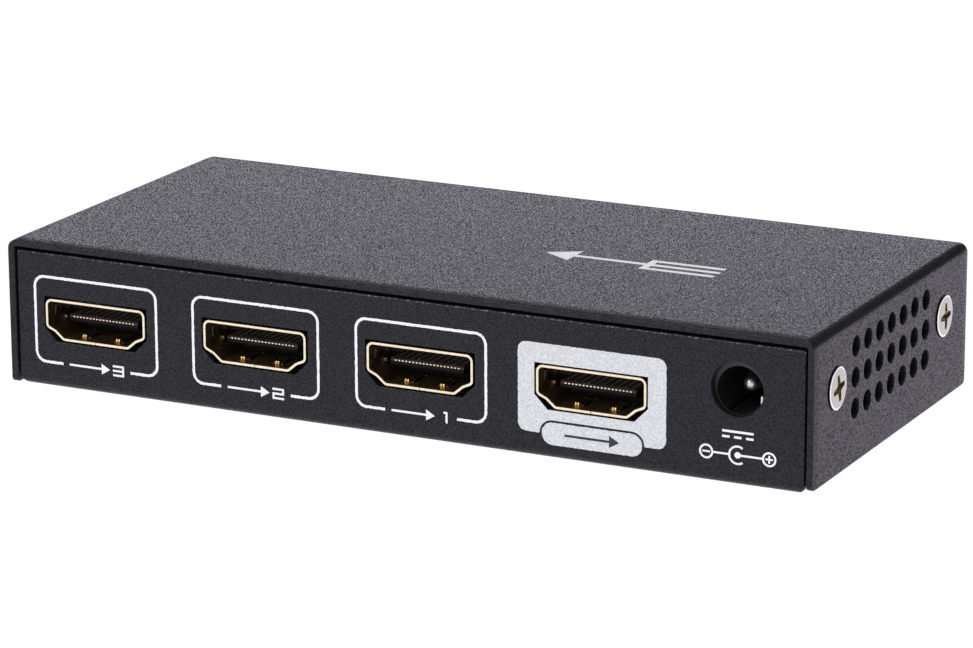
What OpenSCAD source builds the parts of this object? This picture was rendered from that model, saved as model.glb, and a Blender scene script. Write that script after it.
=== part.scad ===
// A video switch box: a folded steel case with three input sockets, one output socket and a
// power jack on its connector panel (-Y), and a select button, four lamps and an infrared
// window on its control panel (+Y). Sizes are in millimetres. The box stands on z = 0, and the
// origin is the middle of its overall width and depth. Left and right are as seen from -Y.

/* [Case] */
// Width across the cover's sides
case_w = 115; // [104:0.5:130]
// Depth of the cover from edge to edge
case_d = 52.7; // [50:0.1:70]
// Height from the chassis underside to the cover's top
case_h = 19.8; // [19.2:0.1:26]
// Thickness of the folded sheet
sheet_t = 1; // [0.8:0.05:1.2]
// Outside radius of the folds
bend_r = 1.3; // [1.25:0.05:1.8]
// Gap between the cover's sides and the panels inside it
cover_gap = 0.25; // [0.1:0.05:0.4]
// Gap between the cover's underside and the panels' upper edges
top_gap = 0.42; // [0.2:0.02:0.6]
// Height of the cover's lower edges above the chassis underside
cover_lift = 0.8; // [0.4:0.05:1.5]
// How far the panels lie behind the cover's edges
panel_recess = 0.3; // [0:0.05:0.8]
// Radius of the cover's lower side corners
cover_corner_r = 0.7; // [0.3:0.1:2.5]
// Radius of the panels' upper corners
panel_corner_r = 0.5; // [0.2:0.1:1.5]

/* [Vents] */
// Diameter of a vent hole
vent_d = 2.6; // [1.5:0.1:3.4]
// Distance between neighbouring vent holes
vent_pitch = 4; // [3.6:0.1:4.2]
// Vent holes in a row
vent_columns = 7; // [3:1:7]
// Rows of vent holes
vent_rows = 3; // [1:1:3]
// Depth of the top row below the cover's top
vent_drop = 4; // [3.2:0.1:5]
// Shift of the vents from the case's middle, towards the control panel
vent_shift = -0.85; // [-1:0.05:1]

/* [Cover screws] */
// Diameter of the thread
screw_d = 3; // [2.5:0.1:3.2]
// Length of the thread below the head
screw_l = 3.6; // [3:0.1:4]
// Diameter of the countersunk head
head_d = 5.5; // [5:0.1:6]
// Height of the head's straight rim
head_rim = 0.25; // [0.1:0.05:0.4]
// How far the head stands out of the cover
head_proud = 0.3; // [0.1:0.05:0.5]
// Gap between the head and its countersink
sink_gap = 0.12; // [0.05:0.01:0.2]
// Depth of the screws below the cover's top
screw_drop = 7.8; // [7:0.1:9]
// Distance between the two screws of one side
screw_pitch = 36.7; // [34:0.1:38]
// Shift of the screws from the case's middle, towards the control panel
screw_shift = -0.65; // [-1:0.05:1]
// Width of the cross slots in the screw heads
recess_w = 0.75; // [0.5:0.05:1]
// Span of the cross slots in the screw heads
recess_span = 2.9; // [2.4:0.1:3.2]
// Depth of the cross slots in the screw heads
recess_depth = 1; // [0.6:0.1:1.2]
// Width of a side tab that takes a screw
tab_w = 10; // [8:0.5:11]
// Height of a side tab above its screw
tab_above = 3.6; // [3:0.1:4.5]
// Diameter of the tapped collar on a tab
collar_d = 4.8; // [4.4:0.1:6]
// Length of the tapped collar
collar_l = 1.2; // [0.8:0.1:1.6]

/* [Feet] */
// Diameter of a foot
foot_d = 8; // [6:0.5:12]
// Height of a foot
foot_h = 1.4; // [1:0.1:3]
// Width of the bevel round a foot's lower edge
foot_bevel = 0.4; // [0.2:0.1:0.8]
// Distance of a foot's middle from the case's sides
foot_inset_x = 9; // [7:0.5:11]
// Distance of a foot's middle from the cover's edges
foot_inset_y = 9.5; // [6:0.5:10]

/* [Board] */
// Thickness of the circuit board
board_t = 1.6; // [1:0.1:2]
// Gap round the circuit board
board_gap = 0.6; // [0.4:0.1:1.2]
// Height of the standoffs
standoff_h = 4.1; // [3.5:0.1:5]
// Diameter of the standoffs
standoff_d = 5.5; // [5:0.1:6.5]
// Diameter of a standoff's shank in the chassis
shank_d = 4.4; // [4.2:0.1:4.8]
// Distance of the standoffs from the board's sides
standoff_inset_x = 8; // [6:0.5:9]
// Distance of the rear standoffs from the board's connector edge
standoff_rear = 19.5; // [19.5:0.5:21]
// Distance of the front standoffs from the board's control edge
standoff_front = 14; // [13:0.5:16]
// Diameter of a board screw's head
pan_d = 5.6; // [5:0.1:6]
// Height of a board screw's head
pan_h = 1.8; // [1.2:0.1:2.4]

/* [Video sockets] */
// Distance of the third input socket, the leftmost, from the cover's left side
socket_first = 13.1; // [12.5:0.1:15]
// Distance of the output socket from the power jack's axis
socket_last = 19.75; // [16.5:0.05:21]
// Width of a socket's shell
socket_w = 15.1; // [14.6:0.1:15.6]
// Height of a socket's shell
socket_h = 5.5; // [5.2:0.1:6]
// Thickness of a socket's shell
socket_wall = 0.3; // [0.25:0.05:0.5]
// Length of a socket's shell
socket_l = 11.4; // [10.5:0.1:12.5]
// How far a socket stands out of the panel
socket_proud = 0; // [0:0.05:0.6]
// Gap round a socket in the panel
socket_gap = 0.25; // [0.1:0.05:0.4]
// Radius of a socket's upper corners
socket_corner_r = 0.9; // [0.6:0.1:1.4]
// Width of a socket's flat bottom
socket_flat = 9.9; // [9:0.1:10.5]
// Height of the outer end of a socket's sloped shoulder
shoulder_high = 1.65; // [1.5:0.05:2]
// Height of the kink in a socket's sloped shoulder
shoulder_low = 1.05; // [0.8:0.05:1.2]
// Width of the shallow stretch of a socket's shoulder
shoulder_w = 1.35; // [1:0.05:1.6]
// Bevel of the lower corners of a socket's panel opening
opening_bevel = 1.85; // [1.2:0.05:2]
// Width of the seam in a socket's bottom
seam_w = 0.08; // [0.04:0.01:0.2]

/* [Socket insides] */
// Width of the tongue
tongue_w = 10.4; // [9.6:0.1:11]
// Thickness of the tongue
tongue_t = 1.2; // [1:0.05:1.4]
// Height of the tongue's underside above the board
tongue_low = 1.95; // [1.7:0.05:2.1]
// Depth of the tongue's front behind the socket's rim
tongue_recess = 2.15; // [1.8:0.05:3]
// Bevel of the tongue's upper front edge
tongue_bevel = 0.2; // [0.1:0.05:0.45]
// Bevel of the tongue's lower front edge
tongue_chin = 0.4; // [0.2:0.05:0.5]
// Number of contacts
contact_count = 19; // [9:2:19]
// Distance between neighbouring contacts
contact_pitch = 0.5; // [0.46:0.01:0.54]
// Width of a contact
contact_w = 0.26; // [0.2:0.01:0.32]
// Thickness of a contact
contact_t = 0.2; // [0.15:0.01:0.25]
// Width of a spring finger
spring_w = 1.4; // [1:0.1:2]
// Distance of a spring finger from the socket's middle
spring_x = 2.5; // [1.6:0.1:3]
// Depth of a spring finger's tip behind the rim
spring_tip = 1.75; // [1.5:0.05:2.5]
// Length of a spring finger
spring_l = 3.65; // [3:0.05:4.4]
// Distance of a spring finger's crest from its tip
spring_crest = 1.1; // [0.8:0.05:1.4]
// How far a spring finger reaches into the socket
spring_lift = 0.3; // [0.2:0.05:0.6]
// Width of a socket's legs
leg_w = 1.3; // [1:0.1:1.8]
// How far pins and legs reach through the board
pin_through = 1; // [0.6:0.1:1.4]

/* [Power jack] */
// Distance of the jack's axis from the cover's right side
jack_inset = 10.25; // [9.5:0.05:11.5]
// Height of the jack's axis above the board
jack_axis = 5.3; // [5.3:0.1:6]
// Diameter of the jack's hole in the panel
jack_hole_d = 7.05; // [6.8:0.05:7.6]
// Height of the panel hole's middle above the jack's axis
jack_hole_lift = 0.4; // [0:0.05:0.4]
// Diameter of the jack's bore
jack_bore_d = 6.2; // [5.8:0.1:6.4]
// Depth of the jack's bore
jack_bore_l = 9.5; // [8:0.1:10]
// Width of the jack's housing
jack_w = 9; // [8.6:0.1:9.4]
// Length of the jack's housing
jack_l = 13.2; // [12.5:0.1:14]
// Height of the jack's housing above its axis
jack_above = 4.5; // [4.2:0.1:4.8]
// Diameter of the centre pin
jack_pin_d = 2; // [1.6:0.1:2.5]
// Diameter of the centre pin's shank in the housing
jack_shank_d = 2.6; // [2.6:0.1:3.2]
// Depth of the centre pin's tip behind the panel's face
jack_pin_recess = 3.55; // [3:0.05:5]

/* [Select button] */
// Distance of the button from the cover's right side
button_inset = 22.5; // [19:0.5:26]
// Height of the button, lamps and receiver above the board
control_axis = 3.6; // [3.4:0.1:4]
// Diameter of the button
button_d = 5; // [4.4:0.1:6]
// How far the button stands out of the panel
button_proud = 1.5; // [1:0.1:3]
// Travel of the button
button_travel = 0.3; // [0.2:0.05:0.5]
// Gap round the button in the panel
button_gap = 0.2; // [0.15:0.05:0.4]
// Diameter of the button's flange behind the panel
flange_d = 6.8; // [6.4:0.1:7]
// Thickness of the button's flange
flange_t = 0.8; // [0.6:0.1:1.2]
// Length of the button's sleeve behind the flange
sleeve_l = 1.4; // [1:0.1:2]
// Width of the push switch
switch_w = 6; // [5.8:0.1:6.5]
// Depth of the push switch's base
switch_l = 3.4; // [3:0.1:4]
// Thickness of the push switch's metal frame
frame_t = 0.3; // [0.2:0.05:0.4]
// Diameter of the plunger's stem
plunger_d = 3.2; // [2.8:0.1:3.5]
// Diameter of the snap dome
dome_d = 4.4; // [4.2:0.1:4.6]
// Rise of the snap dome
dome_rise = 0.45; // [0.35:0.05:0.6]
// Thickness of the snap dome
dome_t = 0.1; // [0.08:0.01:0.15]

/* [Lamps and infrared window] */
// Distance of the first input's lamp from the cover's right side
lamp_inset = 42.5; // [38:0.5:44]
// Distance between neighbouring lamps
lamp_pitch = 10; // [8:0.5:11]
// Diameter of a lamp
lamp_d = 3; // [2.5:0.1:3.4]
// How far a lamp stands out of the panel
lamp_proud = 0.6; // [0.4:0.1:1]
// Gap round a lamp in the panel
lamp_gap = 0.1; // [0.05:0.05:0.3]
// Distance of the infrared window from the cover's left side
window_inset = 22.5; // [21.5:0.5:26]
// Width of the infrared window
window_w = 6; // [5:0.1:7]
// Height of the infrared window
window_h = 4.4; // [4:0.1:5]

/* [Board parts] */
// Width of the switching chip
chip_w = 10; // [8:0.5:12]
// Leads on each side of the switching chip
chip_leads = 16; // [8:1:16]
// Length of the control chip
control_l = 10; // [8:0.5:11]
// Width of the control chip
control_w = 4; // [3.5:0.1:4.4]
// Distance of the chips' middles behind the sockets
chip_row = 14; // [13.5:0.1:16]
// Distance of the protection chips behind the sockets
protection_row = 3.2; // [2.6:0.1:3.4]
// Distance between the two protection chips of a socket
protection_pitch = 5; // [4:0.1:7]
// Distance of the chip capacitors behind the sockets
ceramic_row = 5.4; // [5.2:0.1:6]
// Distance between the chip capacitors of a socket
ceramic_pitch = 2.4; // [1.6:0.1:3]
// Distance of the chip resistors behind the lamps' leads
resistor_row = 4; // [2:0.1:6]
// Diameter of a power capacitor
capacitor_d = 6.3; // [5:0.1:7]
// Height of a power capacitor
capacitor_h = 7.7; // [5.4:0.1:8]

/* [Hidden] */

// Overshoot of a cut past the face it opens
over = 1;
// Radial clearance of pins, screws and pressed pieces in their holes
fit_gap = 0.05;
// Clearance of a leg or lead in its board hole
hole_gap = 0.1;
// Running clearance between a moving piece and its neighbour
run_gap = 0.1;
// Facets of round pieces
$fn = 64;
// Steps in a rounded corner of an outline
arc_steps = 6;

// Heights
z_under = foot_h;
z_floor = z_under + sheet_t;
z_board = z_floor + standoff_h;
z_top = z_board + board_t;
z_cover = z_under + case_h;
z_edge = z_under + cover_lift;
z_panel = z_cover - sheet_t - top_gap;
z_screw = z_cover - screw_drop;
z_control = z_top + control_axis;
z_jack = z_top + jack_axis;

// Depths: the button and the sockets may stand past the cover's edges
front_over = max(button_proud - panel_recess, 0);
rear_over = max(socket_proud - panel_recess, 0);
y_mid = (rear_over - front_over) / 2;
y_rear = y_mid - case_d / 2;
y_front = y_mid + case_d / 2;
y_rear_face = y_rear + panel_recess;
y_rear_in = y_rear_face + sheet_t;
y_front_face = y_front - panel_recess;
y_front_in = y_front_face - sheet_t;
y_rim = y_rear_face - socket_proud;
y_screws = [for (s = [-1, 1]) y_mid + screw_shift + s * screw_pitch / 2];

// Widths and places across the case
panel_w = case_w - 2 * (sheet_t + cover_gap);
panel_d = y_front_face - y_rear_face;
board_w = panel_w - 2 * (sheet_t + board_gap);
board_d = panel_d - 2 * (sheet_t + board_gap);
x_jack = case_w / 2 - jack_inset;
x_first = socket_first - case_w / 2;
socket_count = 4;
socket_pitch = (x_jack - socket_last - x_first) / (socket_count - 1);
x_sockets = [for (i = [0:socket_count - 1]) x_first + i * socket_pitch];
x_button = case_w / 2 - button_inset;
lamp_count = 4;
x_lamps = [for (i = [0:lamp_count - 1]) case_w / 2 - lamp_inset - i * lamp_pitch];
x_window = -case_w / 2 + window_inset;
x_standoff = board_w / 2 - standoff_inset_x;
y_board_rear = y_mid - board_d / 2;
y_board_front = y_mid + board_d / 2;
y_standoffs = [y_board_rear + standoff_rear, y_board_front - standoff_front];

// Push switch depths, from the panel inwards
y_flange = y_front_in - run_gap;
y_sleeve = y_flange - flange_t - sleeve_l;
y_switch = y_sleeve - button_travel - run_gap;
y_base = y_switch - frame_t;
plunger_rim_t = 0.5;
plunger_rim_w = 0.45;
plunger_rim_d = plunger_d + 2 * plunger_rim_w;
y_plunger = y_base - fit_gap - plunger_rim_t;
y_cavity = y_plunger - fit_gap - dome_rise;
cavity_d = max(dome_d, plunger_rim_d) + 4 * run_gap;

// Colours
coat = [0.2, 0.2, 0.21];
gilt = [0.92, 0.78, 0.45];
nickel = [0.85, 0.83, 0.8];
black_plastic = [0.06, 0.06, 0.06];
fibre_green = [0.05, 0.3, 0.14];

// Outline functions, for closed outlines listed anticlockwise

function unit(v) = v / norm(v);

// Corner p between its neighbours a and b, moved outwards by d
function grown(a, p, b, d) =
    let (n = [p.y - a.y, a.x - p.x] / norm(p - a), m = [b.y - p.y, p.x - b.x] / norm(b - p))
    p + (n + m) * d / (1 + n * m);

// Points of corner p between its neighbours a and b, rounded to radius r
function arc_points(a, p, b, r) =
    let (
        u = unit(a - p),
        v = unit(b - p),
        half = acos(u * v) / 2,
        c = p + unit(u + v) * r / sin(half),
        s = p + u * r / tan(half) - c,
        e = p + v * r / tan(half) - c,
        from = atan2(s.y, s.x),
        turn = atan2(e.y, e.x) - from,
        sweep = turn > 180 ? turn - 360 : turn < -180 ? turn + 360 : turn
    )
    [for (i = [0:arc_steps]) c + r * [cos(from + sweep * i / arc_steps), sin(from + sweep * i / arc_steps)]];

// Outline with each corner rounded, and the whole grown by d
function rounded_outline(corners, radii, d = 0) =
    let (
        n = len(corners),
        moved = [for (i = [0:n - 1]) grown(corners[(i + n - 1) % n], corners[i], corners[(i + 1) % n], d)]
    )
    [
        for (i = [0:n - 1])
            let (
                a = moved[(i + n - 1) % n],
                p = moved[i],
                b = moved[(i + 1) % n],
                bulge = cross(p - a, b - p) > 0 ? d : -d
            )
            each arc_points(a, p, b, radii[i] + bulge)
    ];

// Shaping modules

// An (x, z) shape run along y from 0 to l
module along_y(l) {
    translate([0, l, 0])
        rotate([90, 0, 0])
            linear_extrude(l)
                children();
}

// A (y, z) shape run along x, centred
module along_x(l) {
    rotate([90, 0, 90])
        linear_extrude(l, center = true)
            children();
}

// A rectangle standing from low to high, its upper corners rounded to r
module arch(w, low, high, r) {
    translate([-w / 2, low])
        square([w, high - r - low]);
    translate([r - w / 2, low])
        square([w - 2 * r, high - low]);
    for (s = [-1, 1])
        translate([s * (w / 2 - r), high - r])
            circle(r);
}

// The same with its lower corners rounded
module trough(w, low, high, r) {
    translate([0, low + high])
        mirror([0, 1])
            arch(w, low, high, r);
}

// A round bar along y, starting at y = 0
module bar_y(d, l) {
    rotate([-90, 0, 0])
        cylinder(d = d, h = l);
}

// A round bar along x, centred
module bar_x(d, l) {
    rotate([0, 90, 0])
        cylinder(d = d, h = l, center = true);
}

// A block with x and y centred, standing on z = 0
module block(size) {
    translate([-size.x / 2, -size.y / 2, 0])
        cube(size);
}

// The cross slots of a screw head, cut down from z = 0
module cross_recess() {
    for (a = [0, 90])
        rotate(a)
            translate([0, 0, -recess_depth])
                block([recess_span, recess_w, recess_depth + over]);
}

// Case

module cover_profile() {
    difference() {
        arch(case_w, z_edge, z_cover, bend_r);
        arch(case_w - 2 * sheet_t, z_edge - over, z_cover - sheet_t, bend_r - sheet_t);
    }
}

// The corner that is cut off a square edge to round it, at the (y, z) origin
module corner_cut(r) {
    difference() {
        translate([-over, -over])
            square(r + over);
        translate([r, r])
            circle(r);
    }
}

// Conical seat of a cover screw's head, pointing along +x, its mouth at x = 0
module countersink() {
    mouth_d = head_d - 2 * (head_proud - head_rim) + 2 * sink_gap;
    depth = (mouth_d - screw_d) / 2;
    rotate([0, 90, 0]) {
        translate([0, 0, -depth])
            cylinder(d1 = screw_d, d2 = mouth_d, h = depth);
        cylinder(d = mouth_d, h = over);
    }
}

module top_cover() {
    color(coat)
        difference() {
            translate([0, y_rear, 0])
                along_y(case_d)
                    cover_profile();
            for (i = [0:vent_columns - 1], j = [0:vent_rows - 1])
                translate([
                    0,
                    y_mid + vent_shift + (i - (vent_columns - 1) / 2) * vent_pitch,
                    z_cover - vent_drop - j * vent_pitch
                ])
                    bar_x(vent_d, case_w + 2 * over);
            for (y = y_screws) {
                translate([0, y, z_screw])
                    bar_x(screw_d + 2 * sink_gap, case_w + 2 * over);
                for (s = [0, 1])
                    mirror([s, 0, 0])
                        translate([case_w / 2, y, z_screw])
                            countersink();
            }
            translate([0, y_rear, z_edge])
                along_x(case_w + 2 * over)
                    corner_cut(cover_corner_r);
            translate([0, y_front, z_edge])
                mirror([0, 1, 0])
                    along_x(case_w + 2 * over)
                        corner_cut(cover_corner_r);
        }
}

module chassis_profile() {
    difference() {
        trough(panel_d, z_under, z_panel + over, bend_r);
        trough(panel_d - 2 * sheet_t, z_floor, z_panel + 2 * over, bend_r - sheet_t);
    }
}

module tab_profile() {
    difference() {
        translate([-panel_w / 2 - over, z_under])
            square([panel_w + 2 * over, z_screw + tab_above - z_under]);
        trough(panel_w - 2 * sheet_t, z_floor, z_cover, bend_r - sheet_t);
    }
}

// Outline of the chassis as seen from its panels
module chassis_outline() {
    intersection() {
        trough(panel_w, z_under, z_cover, bend_r);
        arch(panel_w, z_under - over, z_panel, panel_corner_r);
    }
}

// The panel opening of a socket, in the socket's own (x, z)
module socket_opening() {
    half_w = socket_w / 2 + socket_gap;
    high = socket_h + socket_gap;
    polygon([
        [opening_bevel - half_w, -socket_gap],
        [half_w - opening_bevel, -socket_gap],
        [half_w, opening_bevel - socket_gap],
        [half_w, high],
        [-half_w, high],
        [-half_w, opening_bevel - socket_gap]
    ]);
}

module base_chassis() {
    color(coat)
        difference() {
            intersection() {
                union() {
                    translate([0, y_mid, 0])
                        along_x(panel_w + 2 * over)
                            chassis_profile();
                    for (y = y_screws) {
                        translate([0, y - tab_w / 2, 0])
                            along_y(tab_w)
                                tab_profile();
                        for (s = [-1, 1])
                            translate([s * (panel_w - sheet_t - collar_l) / 2, y, z_screw])
                                bar_x(collar_d, sheet_t + collar_l);
                    }
                }
                translate([0, y_rear, 0])
                    along_y(case_d)
                        chassis_outline();
            }
            for (y = y_screws)
                translate([0, y, z_screw])
                    bar_x(screw_d + 2 * fit_gap, panel_w + 2 * over);
            for (x = x_sockets)
                translate([x, y_rear_face - over, z_top])
                    along_y(sheet_t + 2 * over)
                        socket_opening();
            translate([x_jack, y_rear_face - over, z_jack + jack_hole_lift])
                bar_y(jack_hole_d, sheet_t + 2 * over);
            translate([x_button, y_front_in - over, z_control])
                bar_y(button_d + 2 * button_gap, sheet_t + 2 * over);
            for (x = x_lamps)
                translate([x, y_front_in - over, z_control])
                    bar_y(lamp_d + 2 * lamp_gap, sheet_t + 2 * over);
            translate([x_window, y_front_in - over, z_control - window_h / 2 - fit_gap])
                translate([-window_w / 2 - fit_gap, 0, 0])
                    cube([window_w + 2 * fit_gap, sheet_t + 2 * over, window_h + 2 * fit_gap]);
            for (x = [-x_standoff, x_standoff], y = y_standoffs)
                translate([x, y, z_under - over])
                    cylinder(d = shank_d + 2 * fit_gap, h = sheet_t + 2 * over);
        }
}

// One cover screw along z, its head's top at z = 0
module cover_screw() {
    cone_h = (head_d - screw_d) / 2;
    difference() {
        union() {
            translate([0, 0, -head_rim])
                cylinder(d = head_d, h = head_rim);
            translate([0, 0, -head_rim - cone_h])
                cylinder(d1 = screw_d, d2 = head_d, h = cone_h);
            translate([0, 0, -head_rim - cone_h - screw_l])
                cylinder(d = screw_d, h = screw_l);
        }
        cross_recess();
    }
}

// Turn of the cross slots of the rear and front screws
screw_turns = [20, 0];

module cover_screws() {
    color(nickel)
        for (s = [0, 1], i = [0, 1])
            mirror([s, 0, 0])
                translate([case_w / 2 + head_proud, y_screws[i], z_screw])
                    rotate([0, 90, 0])
                        rotate(screw_turns[i])
                            cover_screw();
}

module foot(sx, sy) {
    x = case_w / 2 - foot_inset_x;
    y = case_d / 2 - foot_inset_y;
    color(black_plastic)
        translate([sx * x, y_mid + sy * y, 0])
            rotate_extrude()
                polygon([
                    [0, 0],
                    [foot_d / 2 - foot_bevel, 0],
                    [foot_d / 2, foot_bevel],
                    [foot_d / 2, foot_h],
                    [0, foot_h]
                ]);
}

// Board and its fasteners

module board_standoffs() {
    color(nickel)
        for (x = [-x_standoff, x_standoff], y = y_standoffs)
            translate([x, y, 0])
                difference() {
                    union() {
                        translate([0, 0, z_floor])
                            cylinder(d = standoff_d, h = standoff_h);
                        translate([0, 0, z_under])
                            cylinder(d = shank_d, h = sheet_t);
                    }
                    translate([0, 0, z_under - over])
                        cylinder(d = screw_d + 2 * fit_gap, h = sheet_t + standoff_h + 2 * over);
                }
}

module board_screws() {
    color(nickel)
        for (x = [-x_standoff, x_standoff], y = y_standoffs)
            translate([x, y, z_top])
                difference() {
                    union() {
                        cylinder(d = pan_d, h = pan_h);
                        translate([0, 0, -board_t - standoff_h])
                            cylinder(d = screw_d, h = board_t + standoff_h);
                    }
                    translate([0, 0, pan_h])
                        cross_recess();
                }
}

// A hole through the board for a square pin or leg
module board_slot(w, d) {
    translate([0, 0, z_board - over])
        block([w + 2 * hole_gap, d + 2 * hole_gap, board_t + 2 * over]);
}

module circuit_board() {
    color(fibre_green)
        difference() {
            translate([0, y_mid, z_board])
                block([board_w, board_d, board_t]);
            for (x = [-x_standoff, x_standoff], y = y_standoffs)
                translate([x, y, z_board - over])
                    cylinder(d = screw_d + 2 * hole_gap, h = board_t + 2 * over);
            for (x = x_sockets, s = [-1, 1], y = leg_depths)
                translate([x + s * (socket_w - socket_wall) / 2, y_rim + y, 0])
                    board_slot(socket_wall, leg_w);
            translate([x_jack, y_rear_in + jack_l + tail_t / 2, 0])
                board_slot(tail_w, tail_t);
            translate([x_jack + jack_spring_x, y_rear_in + jack_l + tail_t / 2, 0])
                board_slot(tail_t, tail_t);
            translate([x_jack - jack_break_x, y_rear_in + jack_l + tail_t / 2, 0])
                board_slot(tail_t, tail_t);
            for (s = [-1, 1]) {
                translate([x_button + s * (switch_w + frame_t) / 2, y_base - switch_l / 2, 0])
                    board_slot(frame_t, leg_w);
                translate([x_button + s * terminal_x, y_base - switch_l + terminal_w / 2, 0])
                    board_slot(terminal_w, terminal_w);
            }
            for (x = x_lamps, s = [-1, 1])
                translate([x + s * lead_pitch / 2, y_lamp_lead, 0])
                    board_slot(lead_w, lead_w);
            for (s = [-1, 0, 1])
                translate([x_window + s * lead_pitch, y_receiver_lead, 0])
                    board_slot(lead_w, lead_w);
        }
}

// Video sockets, each in its own frame: x across, y inwards from the rim, z up from the board

leg_depths = [spring_tip + spring_l / 2, socket_l - leg_w];

// Corners of the shell's outline and their radii
shell_right = [
    [socket_flat / 2, 0],
    [socket_w / 2 - shoulder_w, shoulder_low],
    [socket_w / 2, shoulder_high],
    [socket_w / 2, socket_h]
];
shell_corners = concat(shell_right, [for (i = [3:-1:0]) [-shell_right[i].x, shell_right[i].y]]);
bottom_r = 0.8;
kink_r = 1;
side_r = 0.7;
shell_right_radii = [bottom_r, kink_r, side_r, socket_corner_r];
shell_radii = concat(shell_right_radii, [for (i = [3:-1:0]) shell_right_radii[i]]);

module at_socket(i) {
    translate([x_sockets[i], y_rim, z_top])
        children();
}

module shell_shape(d) {
    polygon(rounded_outline(shell_corners, shell_radii, d));
}

// A spring finger of the shell's sheet, on a wall that lies in z = 0 and faces +z: its tip is near
// the rim, it bows inwards and its root joins the wall
module spring_finger() {
    half_t = socket_wall / 4;
    bow = spring_tip + spring_crest;
    root = spring_tip + spring_l;
    path = [[spring_tip, 0], [bow, spring_lift + half_t], [root, -half_t], [root + socket_wall, -half_t]];
    along_x(spring_w)
        polygon(concat(
            [for (p = path) p + [0, half_t]],
            [for (i = [len(path) - 1:-1:0]) path[i] - [0, half_t]]
        ));
}

// The window in the shell that a spring finger is cut from
module spring_window() {
    margin = socket_wall / 2;
    translate([0, spring_tip - margin, -socket_wall - over / 4])
        translate([-spring_w / 2 - margin, 0, 0])
            cube([spring_w + 2 * margin, spring_l + margin, socket_wall + over / 2]);
}

// Places of the spring fingers: two on the bottom, two on the top and one on each side
module on_spring_walls() {
    for (s = [-1, 1]) {
        translate([s * spring_x, 0, socket_wall])
            children();
        translate([s * spring_x, 0, socket_h - socket_wall])
            mirror([0, 0, 1])
                children();
        translate([s * (socket_w / 2 - socket_wall), 0, (shoulder_high + socket_h) / 2])
            rotate([0, -s * 90, 0])
                children();
    }
}

module socket_shell(i) {
    color(gilt)
        at_socket(i) {
            difference() {
                along_y(socket_l)
                    shell_shape(0);
                translate([0, -over, 0])
                    along_y(socket_l + 2 * over)
                        shell_shape(-socket_wall);
                translate([-seam_w / 2, -over, -over])
                    cube([seam_w, socket_l + 2 * over, socket_wall + 2 * over]);
                on_spring_walls()
                    spring_window();
            }
            on_spring_walls()
                spring_finger();
            for (s = [-1, 1], y = leg_depths)
                translate([s * (socket_w - socket_wall) / 2, y, -board_t - pin_through])
                    block([socket_wall, leg_w, board_t + pin_through + shoulder_high + leg_w]);
        }
}

// One contact as a (y, z) outline: its tip shows in the tongue's front, it runs back along the
// tongue's upper or lower face, then down behind the insulator to its foot on the board
module contact_outline(upper) {
    tip_z = tongue_low + tongue_t - tongue_bevel - contact_t;
    run_z = upper ? tongue_low + tongue_t - contact_t : tongue_low;
    step = tongue_recess + tongue_bevel + tongue_chin;
    back = socket_l + contact_t;
    foot = back + 3 * contact_t;
    union() {
        translate([tongue_recess - contact_t / 4, tip_z])
            square([step - tongue_recess + contact_t, contact_t]);
        translate([step, min(tip_z, run_z)])
            square([contact_t, abs(run_z - tip_z) + contact_t]);
        translate([step, run_z])
            square([back - step + contact_t, contact_t]);
        translate([back, 0])
            square([contact_t, run_z + contact_t]);
        translate([back, 0])
            square([foot - back, contact_t]);
    }
}

module contact_comb(w) {
    for (k = [0:contact_count - 1])
        translate([(k - (contact_count - 1) / 2) * contact_pitch, 0, 0])
            along_x(w)
                contact_outline(k % 2 == 0);
}

module socket_insulator(i) {
    block_y = spring_tip + spring_l + 2 * socket_wall;
    front = tongue_recess;
    high = tongue_low + tongue_t;
    color(black_plastic)
        at_socket(i)
            difference() {
                union() {
                    along_x(tongue_w)
                        polygon([
                            [front, tongue_low + tongue_chin],
                            [front + tongue_chin, tongue_low],
                            [block_y + over, tongue_low],
                            [block_y + over, high],
                            [front + tongue_bevel, high],
                            [front, high - tongue_bevel]
                        ]);
                    translate([0, block_y, 0])
                        along_y(socket_l - block_y)
                            shell_shape(-socket_wall - fit_gap);
                }
                contact_comb(contact_w + fit_gap);
            }
}

module socket_contacts(i) {
    color(gilt)
        at_socket(i)
            contact_comb(contact_w);
}

// Power jack, in its own frame: x across, y inwards from the panel's inner face, z up from its axis

// Width and thickness of the terminals' tails
tail_w = 2.4;
tail_t = 0.6;
// Place of the leaf and break contact, from the jack's axis
jack_spring_x = jack_w / 2 - tail_t;
jack_break_x = 1.5;
jack_spring_w = 1.7;
jack_spring_top = -0.6;
spring_t = 0.3;
// Depth of the leaf's front end, its crest and the end of its slope behind the housing's front
leaf_front = 0.5;
leaf_crest = 1.2;
leaf_slope = 5.7;
// How far the leaf's crest reaches into the bore, and the depth of the slots' front ends
leaf_lift = 0.9;
slot_front = 0.3;

module at_jack() {
    translate([x_jack, y_rear_in, z_jack])
        children();
}

module power_jack_housing() {
    leaf_in = jack_bore_d / 2 - leaf_lift - 2 * spring_t;
    color(black_plastic)
        at_jack()
            difference() {
                translate([-jack_w / 2, 0, -jack_axis])
                    cube([jack_w, jack_l, jack_axis + jack_above]);
                translate([0, -over, 0])
                    bar_y(jack_bore_d, jack_bore_l + over);
                bar_y(jack_shank_d + 2 * fit_gap, jack_l + over);
                translate([leaf_in, slot_front, jack_spring_top - jack_spring_w - run_gap])
                    cube([jack_spring_x + tail_t / 2 - leaf_in, jack_l, jack_spring_w + 2 * run_gap]);
                translate([-jack_break_x, slot_front + jack_l / 2, -jack_bore_d / 2 - spring_t - run_gap])
                    block([tail_t + 2 * run_gap, jack_l, jack_bore_d / 2]);
            }
}

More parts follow.
